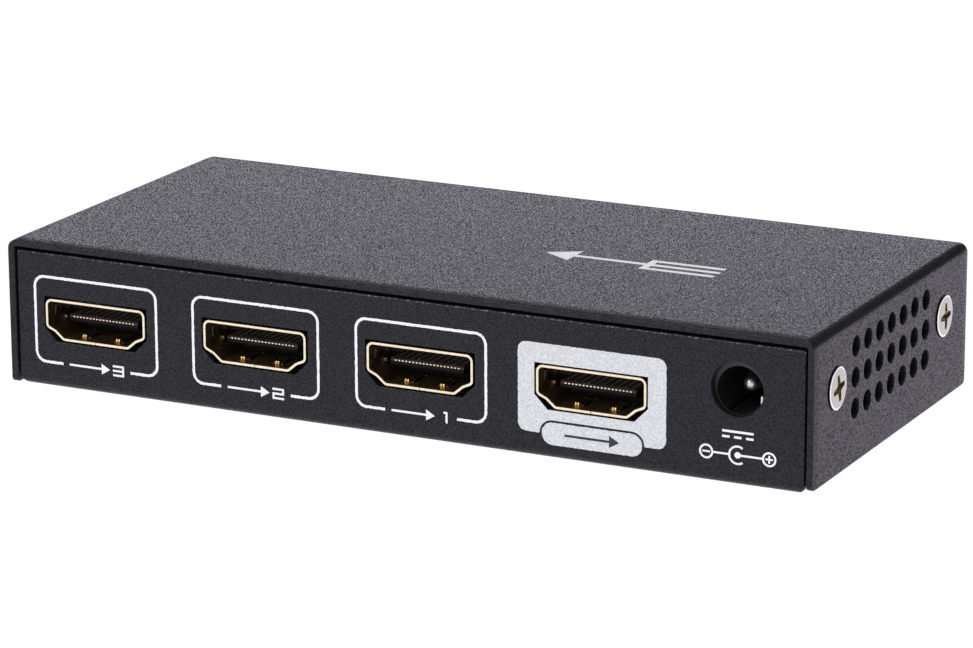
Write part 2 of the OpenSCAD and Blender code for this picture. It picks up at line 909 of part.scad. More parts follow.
module power_jack_pin() {
    tip = jack_pin_recess - sheet_t + jack_pin_d / 2;
    color(nickel)
        at_jack() {
            translate([0, tip, 0])
                bar_y(jack_pin_d, jack_l - tip);
            translate([0, jack_bore_l, 0])
                bar_y(jack_shank_d, jack_l - jack_bore_l + tail_t);
            translate([0, tip, 0])
                sphere(d = jack_pin_d);
            translate([0, jack_l + tail_t / 2, -jack_axis - board_t - pin_through])
                block([tail_w, tail_t, jack_axis + board_t + pin_through]);
        }
}

// A leaf in the bore's right wall, bowed inwards near the mouth, with its tail behind the housing
module power_jack_spring() {
    crest_x = jack_bore_d / 2 - leaf_lift;
    wall_x = jack_spring_x - spring_t / 2;
    path = [
        [crest_x + spring_t, leaf_front],
        [crest_x, leaf_crest],
        [wall_x, leaf_slope],
        [wall_x, jack_l + tail_t]
    ];
    color(nickel)
        at_jack() {
            translate([0, 0, jack_spring_top - jack_spring_w])
                linear_extrude(jack_spring_w)
                    polygon(concat(
                        path,
                        [for (i = [len(path) - 1:-1:0]) path[i] + [spring_t, 0]]
                    ));
            translate([jack_spring_x, jack_l + tail_t / 2, -jack_axis - board_t - pin_through])
                block([tail_t, tail_t, jack_axis + board_t + pin_through + jack_spring_top]);
        }
}

// A flat strip below the bore, with its tail behind the housing
module power_jack_break_contact() {
    low = -jack_bore_d / 2 - spring_t;
    color(nickel)
        at_jack() {
            translate([-jack_break_x - tail_t / 2, leaf_front, low])
                cube([tail_t, jack_l + tail_t - leaf_front, spring_t]);
            translate([-jack_break_x, jack_l + tail_t / 2, -jack_axis - board_t - pin_through])
                block([tail_t, tail_t, jack_axis + board_t + pin_through + low + spring_t]);
        }
}

// Select button and its push switch

terminal_w = 0.6;
terminal_x = switch_w / 4;
terminal_rise = 1.8;
button_edge_r = 0.5;

module at_button(y) {
    translate([x_button, y, z_control])
        children();
}

module select_button() {
    cap_l = y_front_face + button_proud - y_flange;
    color(black_plastic)
        at_button(0)
            difference() {
                union() {
                    translate([0, y_flange, 0])
                        rotate([-90, 0, 0])
                            rotate_extrude() {
                                square([button_d / 2 - button_edge_r, cap_l]);
                                square([button_d / 2, cap_l - button_edge_r]);
                                intersection() {
                                    translate([button_d / 2 - button_edge_r, cap_l - button_edge_r])
                                        circle(button_edge_r);
                                    square([button_d, cap_l]);
                                }
                            }
                    translate([0, y_flange - flange_t, 0])
                        bar_y(flange_d, flange_t);
                    translate([0, y_sleeve, 0])
                        bar_y(button_d, sleeve_l + flange_t);
                }
                translate([0, y_sleeve - over, 0])
                    bar_y(plunger_d + 2 * fit_gap, sleeve_l + flange_t + over);
            }
}

module switch_plunger() {
    color(black_plastic)
        at_button(y_plunger) {
            bar_y(plunger_d, y_flange - y_plunger);
            bar_y(plunger_rim_d, plunger_rim_t);
        }
}

// A shallow cap that stands on its rim in the base and bulges towards the plunger
module switch_dome() {
    sphere_r = (pow(dome_d / 2, 2) + pow(dome_rise, 2)) / (2 * dome_rise);
    half_angle = asin(dome_d / 2 / sphere_r);
    function arc(r) = [
        for (i = [0:arc_steps])
            let (a = half_angle * i / arc_steps)
            [r * sin(a), r * cos(a) + dome_rise - sphere_r]
    ];
    inner = arc(sphere_r - dome_t);
    color(nickel)
        at_button(y_cavity)
            rotate([-90, 0, 0])
                rotate_extrude()
                    intersection() {
                        polygon(concat(arc(sphere_r), [for (i = [arc_steps:-1:0]) inner[i]]));
                        square([dome_d, dome_rise]);
                    }
}

module switch_base() {
    base_h = control_axis + switch_w / 2;
    color(black_plastic)
        difference() {
            translate([x_button, y_base - switch_l / 2, z_top])
                block([switch_w, switch_l, base_h]);
            at_button(y_cavity)
                bar_y(cavity_d, y_base - y_cavity + over);
            for (s = [-1, 1])
                translate([x_button + s * terminal_x, y_base - switch_l, z_top - over])
                    block([terminal_w, 2 * terminal_w, over + terminal_rise]);
        }
}

module switch_frame() {
    base_h = control_axis + switch_w / 2;
    color(nickel) {
        difference() {
            translate([x_button, y_base + frame_t / 2, z_top])
                block([switch_w + 2 * frame_t, frame_t, base_h]);
            at_button(y_base - over)
                bar_y(plunger_d + 4 * run_gap, frame_t + 2 * over);
        }
        for (s = [-1, 1])
            translate([x_button + s * (switch_w + frame_t) / 2, y_base - switch_l / 2, 0]) {
                translate([0, 0, z_top])
                    block([frame_t, switch_l + 2 * frame_t, base_h]);
                translate([0, 0, z_board - pin_through])
                    block([frame_t, leg_w, board_t + pin_through + base_h / 2]);
            }
    }
}

module switch_terminals() {
    color(nickel)
        for (s = [-1, 1])
            translate([
                x_button + s * terminal_x,
                y_base - switch_l + terminal_w / 2,
                z_board - pin_through
            ])
                block([terminal_w, terminal_w, board_t + pin_through + terminal_rise]);
}

// Lamps and infrared parts

lead_w = 0.5;
lead_pitch = 2.54;
lamp_rim_w = 0.4;
lamp_rim_d = lamp_d + 2 * lamp_rim_w;
lamp_rim_t = 1;
y_lamp = y_front_in - lamp_rim_t;
y_lamp_lead = y_lamp - 3 * lead_w;
receiver_w = 6;
receiver_l = 3.6;
receiver_lens_d = 4;
window_rim = 0.8;
y_window = y_front_in - window_rim;
y_receiver = y_window - run_gap - receiver_lens_d / 4;
y_receiver_lead = y_receiver - receiver_l / 2;

module lamp(i, tint) {
    length = y_front_face + lamp_proud - y_lamp;
    color(tint)
        translate([x_lamps[i], y_lamp, z_control]) {
            bar_y(lamp_d, length - lamp_d / 2);
            translate([0, length - lamp_d / 2, 0])
                sphere(d = lamp_d);
            bar_y(lamp_rim_d, lamp_rim_t);
        }
}

module lamp_leads() {
    color(nickel)
        for (x = x_lamps, s = [-1, 1])
            translate([x + s * lead_pitch / 2, 0, 0]) {
                translate([0, (y_lamp + y_lamp_lead - lead_w / 2) / 2, z_control - lead_w / 2])
                    block([lead_w, y_lamp - y_lamp_lead + lead_w / 2, lead_w]);
                translate([0, y_lamp_lead, z_board - pin_through])
                    block([lead_w, lead_w, z_control + lead_w / 2 - z_board + pin_through]);
            }
}

module infrared_window() {
    depth = y_front_face - y_front_in;
    color([0.12, 0.02, 0.03])
        translate([x_window, 0, z_control]) {
            translate([0, y_front_in + depth / 2, -window_h / 2])
                block([window_w, depth, window_h]);
            translate([0, y_window + window_rim / 2, -window_h / 2 - window_rim])
                block([window_w + 2 * window_rim, window_rim, window_h + 2 * window_rim]);
        }
}

module infrared_receiver() {
    color(black_plastic)
        translate([x_window, 0, z_control]) {
            translate([0, y_receiver - receiver_l / 2, -control_axis + lead_w])
                block([receiver_w, receiver_l, 2 * control_axis - lead_w]);
            intersection() {
                translate([0, y_receiver - receiver_lens_d / 4, 0])
                    sphere(d = receiver_lens_d);
                translate([0, y_receiver + over, -control_axis])
                    block([receiver_w, 2 * over + receiver_lens_d / 4, 2 * control_axis]);
            }
        }
}

module infrared_leads() {
    color(nickel)
        for (s = [-1, 0, 1])
            translate([x_window + s * lead_pitch, y_receiver_lead, z_board - pin_through])
                block([lead_w, lead_w, board_t + pin_through + lead_w]);
}

// Chips and other board parts

chip_h = 1.4;
chip_lift = 0.15;
lead_t = 0.2;
lead_foot = 0.7;
chip_pitch = 0.5;
control_pitch = 1.27;
control_leads = 7;
regulator_w = 6.5;
regulator_l = 3.5;
regulator_h = 1.6;
x_chip = x_sockets[2];
y_chip = y_rim + socket_l + chip_row;
x_control = x_sockets[1];
x_regulator = x_jack;
y_regulator = (y_standoffs[0] + y_standoffs[1]) / 2;
x_crystal = (x_chip + x_control) / 2;

// One lead: out of the chip's side, down to the board and out to its foot, along +y
module gull_lead(w, rise) {
    along_x(w) {
        translate([0, rise])
            square([lead_foot / 2 + lead_t, lead_t]);
        translate([lead_foot / 2, 0])
            square([lead_t, rise + lead_t]);
        translate([lead_foot / 2, 0])
            square([lead_foot, lead_t]);
    }
}

module lead_row(count, pitch, w, rise) {
    for (k = [0:count - 1])
        translate([(k - (count - 1) / 2) * pitch, 0, 0])
            gull_lead(w, rise);
}

module switch_chip() {
    color(black_plastic)
        translate([x_chip, y_chip, z_top + chip_lift])
            block([chip_w, chip_w, chip_h]);
}

module switch_chip_leads() {
    color(nickel)
        translate([x_chip, y_chip, z_top])
            for (a = [0:90:270])
                rotate(a)
                    translate([0, chip_w / 2, 0])
                        lead_row(chip_leads, chip_pitch, chip_pitch / 2, chip_h / 2);
}

module control_chip() {
    color(black_plastic)
        translate([x_control, y_chip, z_top + chip_lift])
            block([control_l, control_w, chip_h]);
}

module control_chip_leads() {
    color(nickel)
        translate([x_control, y_chip, z_top])
            for (a = [0, 180])
                rotate(a)
                    translate([0, control_w / 2, 0])
                        lead_row(control_leads, control_pitch, 2 * lead_t, chip_h / 2);
}

module regulator() {
    color(black_plastic)
        translate([x_regulator, y_regulator, z_top + chip_lift])
            block([regulator_w, regulator_l, regulator_h]);
}

module regulator_leads() {
    color(nickel)
        translate([x_regulator, y_regulator, z_top]) {
            translate([0, regulator_l / 2, 0])
                lead_row(1, 1, regulator_w / 2, regulator_h / 2);
            rotate(180)
                translate([0, regulator_l / 2, 0])
                    lead_row(3, regulator_w / 3, lead_foot, regulator_h / 2);
        }
}

// A flat metal can with round ends
module crystal() {
    can_l = 10.2;
    can_w = 3.8;
    can_h = 3.4;
    color(nickel)
        translate([x_crystal, y_chip, z_top])
            linear_extrude(can_h) {
                square([can_w, can_l - can_w], center = true);
                for (s = [-1, 1])
                    translate([0, s * (can_l - can_w) / 2])
                        circle(d = can_w);
            }
}

// A capacitor can on its square base
module power_capacitor(i) {
    base_h = 0.8;
    gap = 1.5;
    x = x_jack - jack_w / 2 - capacitor_d / 2 - gap;
    y = y_rim + socket_l + capacitor_d / 2 + 2 * gap + i * (capacitor_d + gap);
    color(nickel)
        translate([x, y, z_top]) {
            block([capacitor_d, capacitor_d, base_h]);
            cylinder(d = capacitor_d - fit_gap, h = capacitor_h);
        }
}

// Sizes of the small chip parts
protection_w = 3;
small_w = 0.8;
small_l = 1.6;
protection_h = 0.9;
resistor_h = 0.5;
protection_count = 2;
ceramic_count = 4;

// A row of small chip parts behind each socket
module small_row(count, pitch, size, y) {
    for (x = x_sockets, k = [0:count - 1])
        translate([x + (k - (count - 1) / 2) * pitch, y_rim + socket_l + y, z_top])
            block(size);
}

module protection_chips() {
    color(black_plastic)
        small_row(protection_count, protection_pitch, [protection_w, small_l, protection_h], protection_row);
}

module chip_capacitors() {
    color([0.62, 0.5, 0.36])
        small_row(ceramic_count, ceramic_pitch, [small_w, small_l, small_w], ceramic_row);
}

module chip_resistors() {
    color(black_plastic)
        for (x = x_lamps)
            translate([x, y_lamp_lead - resistor_row, z_top])
                block([small_w, small_l, resistor_h]);
}

top_cover();
base_chassis();
cover_screws();
foot(-1, -1);  // foot_rear_left
foot(1, -1);  // foot_rear_right
foot(-1, 1);  // foot_front_left
foot(1, 1);  // foot_front_right
board_standoffs();
board_screws();
circuit_board();
socket_shell(2);  // input_1_shell
socket_insulator(2);  // input_1_insulator
socket_contacts(2);  // input_1_contacts
socket_shell(1);  // input_2_shell
socket_insulator(1);  // input_2_insulator
socket_contacts(1);  // input_2_contacts
socket_shell(0);  // input_3_shell
socket_insulator(0);  // input_3_insulator
socket_contacts(0);  // input_3_contacts
socket_shell(3);  // output_shell
socket_insulator(3);  // output_insulator
socket_contacts(3);  // output_contacts
power_jack_housing();
power_jack_pin();
power_jack_spring();
power_jack_break_contact();
select_button();
switch_plunger();
switch_dome();
switch_base();
switch_frame();
switch_terminals();
lamp(0, "limegreen");  // lamp_input_1
lamp(1, "limegreen");  // lamp_input_2
lamp(2, "limegreen");  // lamp_input_3
lamp(3, "red");  // lamp_power
lamp_leads();
infrared_window();
infrared_receiver();
infrared_leads();
switch_chip();
switch_chip_leads();
control_chip();
control_chip_leads();
regulator();
regulator_leads();
crystal();
power_capacitor(0);  // power_capacitor_1
power_capacitor(1);  // power_capacitor_2
chip_capacitors();
chip_resistors();
protection_chips();
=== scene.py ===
import math

import bpy
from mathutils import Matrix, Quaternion, Vector


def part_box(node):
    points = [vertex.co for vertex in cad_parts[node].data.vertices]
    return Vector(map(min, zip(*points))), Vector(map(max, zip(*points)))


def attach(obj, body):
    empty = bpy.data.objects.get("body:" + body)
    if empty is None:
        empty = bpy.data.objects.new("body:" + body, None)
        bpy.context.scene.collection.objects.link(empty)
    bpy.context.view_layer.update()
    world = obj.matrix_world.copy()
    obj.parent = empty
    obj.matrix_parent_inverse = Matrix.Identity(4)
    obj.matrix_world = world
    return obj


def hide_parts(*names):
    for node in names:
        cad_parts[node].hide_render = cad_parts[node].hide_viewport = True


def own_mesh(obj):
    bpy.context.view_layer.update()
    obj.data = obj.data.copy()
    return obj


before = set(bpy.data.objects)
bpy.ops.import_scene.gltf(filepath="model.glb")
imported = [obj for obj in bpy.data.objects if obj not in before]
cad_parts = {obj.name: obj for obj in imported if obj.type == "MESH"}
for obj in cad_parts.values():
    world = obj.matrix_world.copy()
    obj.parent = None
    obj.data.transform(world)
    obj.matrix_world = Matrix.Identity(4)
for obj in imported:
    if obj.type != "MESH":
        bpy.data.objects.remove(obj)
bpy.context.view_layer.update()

# Base chassis: one sheet of 1 mm steel, folded up into a connector panel, a control panel and four side
# tabs, and punched for the sockets, lamps and button. A dark powder coat with a fine grain is baked on it.
mm = 0.001


def take_up(piece):
    """Make this the only selected piece."""
    bpy.ops.object.select_all(action="DESELECT")
    piece.select_set(True)
    bpy.context.view_layer.objects.active = piece


def apply_all(piece):
    """Apply the piece's modifiers in their order."""
    take_up(piece)
    for modifier in list(piece.modifiers):
        bpy.ops.object.modifier_apply(modifier=modifier.name)


def seated(piece, finish, body, slot, *nodes):
    """Give a piece its finish and its body, and let it stand for the solids that it replaces. Its slot is not
    used.
    """
    piece.data.materials.clear()
    piece.data.materials.append(finish)
    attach(piece, body)
    if nodes:
        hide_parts(*nodes)
    return piece


def evened(piece):
    """Shade a piece smooth across its small angles, and keep its large faces flat."""
    take_up(piece)
    bpy.ops.object.shade_smooth_by_angle(angle=math.radians(35))
    flat = piece.modifiers.new("flat", "WEIGHTED_NORMAL")
    flat.keep_sharp = True
    flat.weight = 80
    apply_all(piece)
    return piece


def merged(node, name):
    """A worked copy of a solid: its triangles merged and its flat faces joined."""
    piece = bpy.data.objects.new(name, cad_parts[node].data.copy())
    bpy.context.collection.objects.link(piece)
    take_up(piece)
    bpy.ops.mesh.customdata_custom_splitnormals_clear()
    bpy.ops.object.mode_set(mode="EDIT")
    bpy.ops.mesh.select_all(action="SELECT")
    bpy.ops.mesh.remove_doubles(threshold=0.002 * mm)
    bpy.ops.mesh.dissolve_limited(angle_limit=math.radians(0.5))
    bpy.ops.object.mode_set(mode="OBJECT")
    return piece


def eased(piece, edge, steps=2, radius_at=None, clamp=True):
    """Round the sharp edges of a piece, all alike or, up to this radius, as a rule for their ends says."""
    points, sides = piece.data.vertices, {}
    for face in piece.data.polygons:
        for key in face.edge_keys:
            sides.setdefault(key, []).append(face.normal)
    weights = piece.data.attributes.new("bevel_weight_edge", "FLOAT", "EDGE")
    for line in piece.data.edges:
        pair = sides.get(line.key, [])
        if len(pair) == 2 and pair[0].angle(pair[1], 0) > math.radians(38):
            radii = [radius_at(points[v].co) if radius_at else edge for v in line.vertices]
            weights.data[line.index].value = min(radii) / edge
    rounding = piece.modifiers.new("rounding", "BEVEL")
    rounding.width = edge
    rounding.segments = steps
    rounding.limit_method = "WEIGHT"
    rounding.use_clamp_overlap = clamp
    apply_all(piece)
    return evened(piece)


def softened(node, name, edge, steps=2):
    """A worked copy of a solid with its sharp edges rounded."""
    return eased(merged(node, name), edge, steps)


def new_finish(name, colour, rough, metal=0.0, specular=0.5):
    """A material whose even values sit on the shader's own sockets."""
    finish = bpy.data.materials.new(name)
    finish.use_nodes = True
    shader = finish.node_tree.nodes["Principled BSDF"]
    shader.inputs["Base Color"].default_value = (*colour, 1)
    shader.inputs["Roughness"].default_value = rough
    shader.inputs["Metallic"].default_value = metal
    shader.inputs["Specular IOR Level"].default_value = specular
    return finish


def grain(finish, size, shades=None, rough=None, depth=0.0, detail=2.0, stretch=(1, 1, 1), span=(0.3, 0.7)):
    """Vary a finish by a noise with grains of this size: its shade, its roughness or its height."""
    tree = finish.node_tree
    shader = tree.nodes["Principled BSDF"]
    place = tree.nodes.new("ShaderNodeTexCoord")
    turn = tree.nodes.new("ShaderNodeMapping")
    turn.inputs["Scale"].default_value = stretch
    noise = tree.nodes.new("ShaderNodeTexNoise")
    noise.inputs["Scale"].default_value = 1 / size
    noise.inputs["Detail"].default_value = detail
    tree.links.new(place.outputs["Object"], turn.inputs["Vector"])
    tree.links.new(turn.outputs["Vector"], noise.inputs["Vector"])
    if shades:
        ramp = tree.nodes.new("ShaderNodeValToRGB")
        for stop, at, shade in zip(ramp.color_ramp.elements, span, shades):
            stop.position = at
            stop.color = (*shade, 1)
        tree.links.new(noise.outputs["Fac"], ramp.inputs["Fac"])
        tree.links.new(ramp.outputs["Color"], shader.inputs["Base Color"])
    if rough:
        spread = tree.nodes.new("ShaderNodeMapRange")
        for socket, value in zip(("From Min", "From Max", "To Min", "To Max"), (*span, *rough)):
            spread.inputs[socket].default_value = value
        tree.links.new(noise.outputs["Fac"], spread.inputs["Value"])
        tree.links.new(spread.outputs["Result"], shader.inputs["Roughness"])
    if depth:
        bump = tree.nodes.new("ShaderNodeBump")
        bump.inputs["Strength"].default_value = 1
        bump.inputs["Distance"].default_value = depth
        before = shader.inputs["Normal"].links
        if before:
            tree.links.new(before[0].from_socket, bump.inputs["Normal"])
        tree.links.new(noise.outputs["Fac"], bump.inputs["Height"])
        tree.links.new(bump.outputs["Normal"], shader.inputs["Normal"])
    return finish


def refinished(piece, finish, chosen):
    """Give the faces that a test picks another finish."""
    piece.data.materials.append(finish)
    for face in piece.data.polygons:
        if chosen(face):
            face.material_index = len(piece.data.materials) - 1


def coat(name, speck, shades, depth):
    """A dark powder coat with specks of this size between two shades, and pits of this depth."""
    finish = new_finish(name, (0.0125, 0.013, 0.015), 0.3, specular=0.235)
    grain(finish, speck, shades=shades, rough=(0.62, 0.1), detail=1, span=(0.4, 0.6))
    return grain(finish, 0.26 * mm, depth=depth, detail=1)


panel_coat = coat("panel_coat", 0.17 * mm, ((0.0018, 0.0023, 0.0028), (0.022, 0.0225, 0.0265)), 0.022 * mm)
panel_low, panel_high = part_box("base_chassis")
panel_back = 1.1 * mm
rim_x, rim_z = 55.7 * mm, panel_high.z - 0.6 * mm
rim_r, hole_r = 0.2 * mm, 0.15 * mm


def panel_rounding(end):
    """The radius at a point of the chassis: wide round the panels, narrow at their holes, none behind."""
    if panel_low.y + panel_back < end.y < panel_high.y - panel_back:
        return 0
    return rim_r if abs(end.x) > rim_x or end.z > rim_z else hole_r


chassis_sheet = eased(merged("base_chassis", "chassis_sheet"), rim_r, 3, panel_rounding, clamp=False)
seated(chassis_sheet, panel_coat, "case", "coated_steel", "base_chassis")
# Light specks painted on the rounding along the panels' upper edges: a painted highlight where that edge
# catches the light.
glint_speck_coat = new_finish("glint_speck_coat", (0.03, 0.03, 0.033), 0.45, specular=0.3)
grain(glint_speck_coat, 0.3 * mm, shades=((0.012, 0.012, 0.014), (0.22, 0.225, 0.235)), detail=2, span=(0.52, 0.72))
glint_z, glint_depth = panel_high.z - 0.35 * mm, 0.3 * mm


def is_glint_edge(face):
    """Is this a face of the rounding along the upper edge of a panel, on its outer side, where the painted
    highlight goes?
    """
    depth = min(face.center.y - panel_low.y, panel_high.y - face.center.y)
    return 0.15 < face.normal.z < 0.95 and face.center.z > glint_z and depth < glint_depth


refinished(chassis_sheet, glint_speck_coat, is_glint_edge)

# Feet: four round pads of black rubber, cut from sheet and stuck under the chassis. Their lower edges are
# rounded, and a shallow dish in the underside makes them grip.
foot_r = 4 * mm
foot_h = 1.4 * mm


def turned(name, rings, facets=64):
    """A turned piece along +Z: each ring (radius, height) is drawn out of the one before it."""
    bpy.ops.object.select_all(action="DESELECT")
    radius, height = rings[0]
    bpy.ops.mesh.primitive_circle_add(
        vertices=facets, radius=radius, fill_type="NGON", location=(0, 0, height),
    )
    piece = bpy.context.object
    piece.name = name
    bpy.ops.object.transform_apply(location=True)
    bpy.ops.object.mode_set(mode="EDIT")
    bpy.ops.mesh.select_all(action="SELECT")
    for next_radius, next_height in rings[1:]:
        bpy.ops.mesh.extrude_region_move(TRANSFORM_OT_translate={"value": (0, 0, next_height - height)})
        share = next_radius / radius
        bpy.ops.transform.resize(value=(share, share, 1), center_override=(0, 0, next_height))
        radius, height = next_radius, next_height
    bpy.ops.mesh.select_all(action="SELECT")
    bpy.ops.mesh.normals_make_consistent(inside=False)
    bpy.ops.object.mode_set(mode="OBJECT")
    bpy.ops.object.shade_smooth_by_angle(angle=math.radians(35))
    return piece


def placed(piece, at=(0, 0, 0), turn=(0, 0, 0)):
    """Move a piece to its place, and keep that place in its mesh."""
    take_up(piece)
    piece.rotation_euler = [math.radians(a) for a in turn]
    piece.location = at
    bpy.ops.object.transform_apply(location=True, rotation=True, scale=True)
    return piece


def another(piece, name):
    """A copy of a piece with its own mesh."""
    copy = bpy.data.objects.new(name, piece.data.copy())
    bpy.context.collection.objects.link(copy)
    return copy


rubber = new_finish("rubber", (0.012, 0.012, 0.012), 0.7, specular=0.3)
grain(rubber, 0.9 * mm, rough=(0.6, 0.8), depth=0.01 * mm, detail=4)
pad = turned("foot_pad", [
    (1.2 * mm, 0.25 * mm), (2.2 * mm, 0.2 * mm), (2.7 * mm, 0), (3.5 * mm, 0), (3.75 * mm, 0.06 * mm),
    (3.92 * mm, 0.2 * mm), (foot_r, 0.4 * mm), (foot_r, 1.3 * mm), (3.9 * mm, foot_h),
])
for foot in ("foot_rear_left", "foot_rear_right", "foot_front_left", "foot_front_right"):
    low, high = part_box(foot)
    piece = another(pad, foot.replace("foot", "rubber_foot"))
    placed(piece, ((low.x + high.x) / 2, (low.y + high.y) / 2, 0))
    seated(piece, rubber, "case", "rubber", foot)
bpy.data.objects.remove(pad)

# Standoffs and board screws: nickel-plated pillars pressed into the chassis, and pan-head screws that hold
# the board on them.
nickel = new_finish("nickel", (0.78, 0.76, 0.72), 0.24, metal=1)
grain(nickel, 0.5 * mm, rough=(0.2, 0.34), depth=0.003 * mm)
seated(softened("board_standoffs", "pillars", 0.1 * mm), nickel, "case", "nickel", "board_standoffs")
seated(softened("board_screws", "pan_head_screws", 0.12 * mm), nickel, "case", "nickel", "board_screws")

# Circuit board: glass-fibre laminate under a black lacquer, with its copper runs showing as lighter lines. It
# lies on the standoffs and carries everything electric.
lacquer = new_finish("black_lacquer", (0.005, 0.01, 0.008), 0.3)
runs = lacquer.node_tree
where = runs.nodes.new("ShaderNodeTexCoord")
cells = runs.nodes.new("ShaderNodeTexVoronoi")
cells.distance = "MANHATTAN"
cells.feature = "F1"
cells.inputs["Scale"].default_value = 1 / (2.4 * mm)
bands = runs.nodes.new("ShaderNodeMath")
bands.operation = "PINGPONG"
bands.inputs[1].default_value = 0.12
lines = runs.nodes.new("ShaderNodeValToRGB")
lines.color_ramp.elements[0].position = 0.05
lines.color_ramp.elements[0].color = (0.003, 0.006, 0.005, 1)
lines.color_ramp.elements[1].position = 0.07
lines.color_ramp.elements[1].color = (0.008, 0.016, 0.012, 1)
runs.links.new(where.outputs["Object"], cells.inputs["Vector"])
runs.links.new(cells.outputs["Distance"], bands.inputs[0])
runs.links.new(bands.outputs["Value"], lines.inputs["Fac"])
runs.links.new(lines.outputs["Color"], runs.nodes["Principled BSDF"].inputs["Base Color"])
seated(softened("circuit_board", "board", 0.08 * mm), lacquer, "case", "fibre_board", "circuit_board")

# Parts on the board: chips in black resin on tinned leads, a regulator, a crystal in a drawn can, two
# capacitors in aluminium cans, and rows of small chip parts, all soldered down.
resin = new_finish("chip_resin", (0.022, 0.022, 0.023), 0.55)
grain(resin, 0.25 * mm, rough=(0.45, 0.65), depth=0.004 * mm)
tin = new_finish("tin_plate", (0.72, 0.71, 0.68), 0.3, metal=1)
grain(tin, 0.4 * mm, rough=(0.25, 0.42), depth=0.002 * mm)
can_metal = new_finish("drawn_can", (0.62, 0.63, 0.65), 0.32, metal=1)
grain(can_metal, 0.3 * mm, rough=(0.26, 0.4), stretch=(1, 1, 0.15))
ceramic = new_finish("fired_ceramic", (0.3, 0.22, 0.14), 0.5)
grain(ceramic, 0.3 * mm, shades=((0.24, 0.17, 0.1), (0.34, 0.26, 0.17)), depth=0.003 * mm)
for node, name, edge, finish, slot in (
    ("switch_chip", "switching_chip", 0.12, resin, "chip_resin"),
    ("control_chip", "controller_chip", 0.12, resin, "chip_resin"),
    ("regulator", "voltage_regulator", 0.12, resin, "chip_resin"),
    ("protection_chips", "surge_chips", 0.08, resin, "chip_resin"),
    ("infrared_receiver", "receiver", 0.2, resin, "chip_resin"),
    ("switch_chip_leads", "switching_chip_leads", 0.03, tin, "tinned_brass"),
    ("control_chip_leads", "controller_chip_leads", 0.04, tin, "tinned_brass"),
    ("regulator_leads", "voltage_regulator_leads", 0.04, tin, "tinned_brass"),
    ("lamp_leads", "lamp_wires", 0.05, tin, "tinned_brass"),
    ("infrared_leads", "receiver_wires", 0.05, tin, "tinned_brass"),
    ("crystal", "crystal_can", 0.4, can_metal, "can"),
    ("power_capacitor_1", "capacitor_1", 0.3, can_metal, "can"),
    ("power_capacitor_2", "capacitor_2", 0.3, can_metal, "can"),
    ("chip_capacitors", "small_capacitors", 0.06, ceramic, "ceramic"),
    ("chip_resistors", "small_resistors", 0.06, ceramic, "ceramic"),
):
    seated(softened(node, name, edge * mm), finish, "case", slot, node)

# Video sockets: each a folded shell of gold-flashed steel with sprung fingers, closed by a seam below, round
# a black moulding whose tongue carries nineteen gold-flashed contacts.
gilt = new_finish("gold_flash", (0.88, 0.8, 0.55), 0.2, metal=1)
grain(gilt, 0.45 * mm, shades=((0.83, 0.73, 0.45), (0.96, 0.89, 0.65)), rough=(0.16, 0.3),
      depth=0.002 * mm)
# A darker copy of the gold for the shell's inner walls, its seam and the side fingers' tips: painted shade
# inside the shell.
painted_shade_gilt = new_finish("painted_shade_gold", (0.29, 0.205, 0.115), 0.4, metal=1)
grain(painted_shade_gilt, 0.5 * mm, rough=(0.32, 0.5), depth=0.004 * mm)
finger_gold = new_finish("finger_gold", (0.6, 0.37, 0.11), 0.25, metal=1)
grain(finger_gold, 0.3 * mm, rough=(0.2, 0.34))
contact_gold = new_finish("contact_gold", (0.95, 0.82, 0.55), 0.18, metal=1)
grain(contact_gold, 0.2 * mm, rough=(0.14, 0.26))
moulding = new_finish("socket_moulding", (0.02, 0.019, 0.022), 0.32)
grain(moulding, 0.3 * mm, rough=(0.26, 0.42), depth=0.002 * mm)
# A near black, rougher copy of the moulding for its lower part: painted shade under the tongue's lit upper
# edge.
painted_shade_moulding = new_finish("socket_moulding_painted_shade", (0.006, 0.005, 0.005), 0.6, specular=0.15)
grain(painted_shade_moulding, 0.3 * mm, rough=(0.5, 0.7), depth=0.002 * mm)


def joined(pieces):
    """Join pieces into the first of them."""
    take_up(pieces[0])
    for piece in pieces[1:]:
        piece.select_set(True)
    if len(pieces) > 1:
        bpy.ops.object.join()
    return pieces[0]


def block(size, at):
    """A block of this size round a point."""
    bpy.ops.object.select_all(action="DESELECT")
    bpy.ops.mesh.primitive_cube_add(size=1, location=at)
    piece = bpy.context.object
    piece.scale = size
    bpy.ops.object.transform_apply(location=True, rotation=True, scale=True)
    return piece


def pick_faces(piece, chosen):
    """Go into edit mode with only the faces selected that a test picks."""
    take_up(piece)
    bpy.ops.object.mode_set(mode="EDIT")
    bpy.ops.mesh.select_mode(type="FACE")
    bpy.ops.mesh.select_all(action="DESELECT")
    bpy.ops.object.mode_set(mode="OBJECT")
    for face in piece.data.polygons:
        face.select = chosen(face)
    bpy.ops.object.mode_set(mode="EDIT")


def finger_tip(at, w, finish, turn=0):
    """The raised tip of a spring finger: a block with a sloped front, turned about the depth."""
    deep, high, slope = 0.5 * mm, 0.45 * mm, 0.15 * mm
    tip = block((w, deep, high), (0, deep / 2, high / 2))
    pick_faces(tip, lambda face: face.normal.z > 0.5)
    bpy.ops.transform.resize(value=(1, 1 - slope / deep, 1), center_override=(0, deep, high))
    bpy.ops.object.mode_set(mode="OBJECT")
    tip.data.materials.append(finish)
    return placed(eased(tip, 0.04 * mm), at, (0, turn, 0))


def is_shaded_wall(face, middle, rim, sole):
    """Is this a face of the shell's walls or seam, behind the rim and not on a spring finger, to be painted
    in shade?
    """
    side, rise = abs(face.center.x - middle), face.center.z - sole
    seam = side < 0.06 * mm and abs(face.normal.x) > 0.7
    behind_rim = face.center.y > rim + 0.35 * mm
    long_finger = side < 3.3 * mm and 0.03 * mm < rise < 4.87 * mm
    side_finger = 6.3 * mm < side < 7.22 * mm and rise > 2 * mm
    return seam or behind_rim and not long_finger and not side_finger


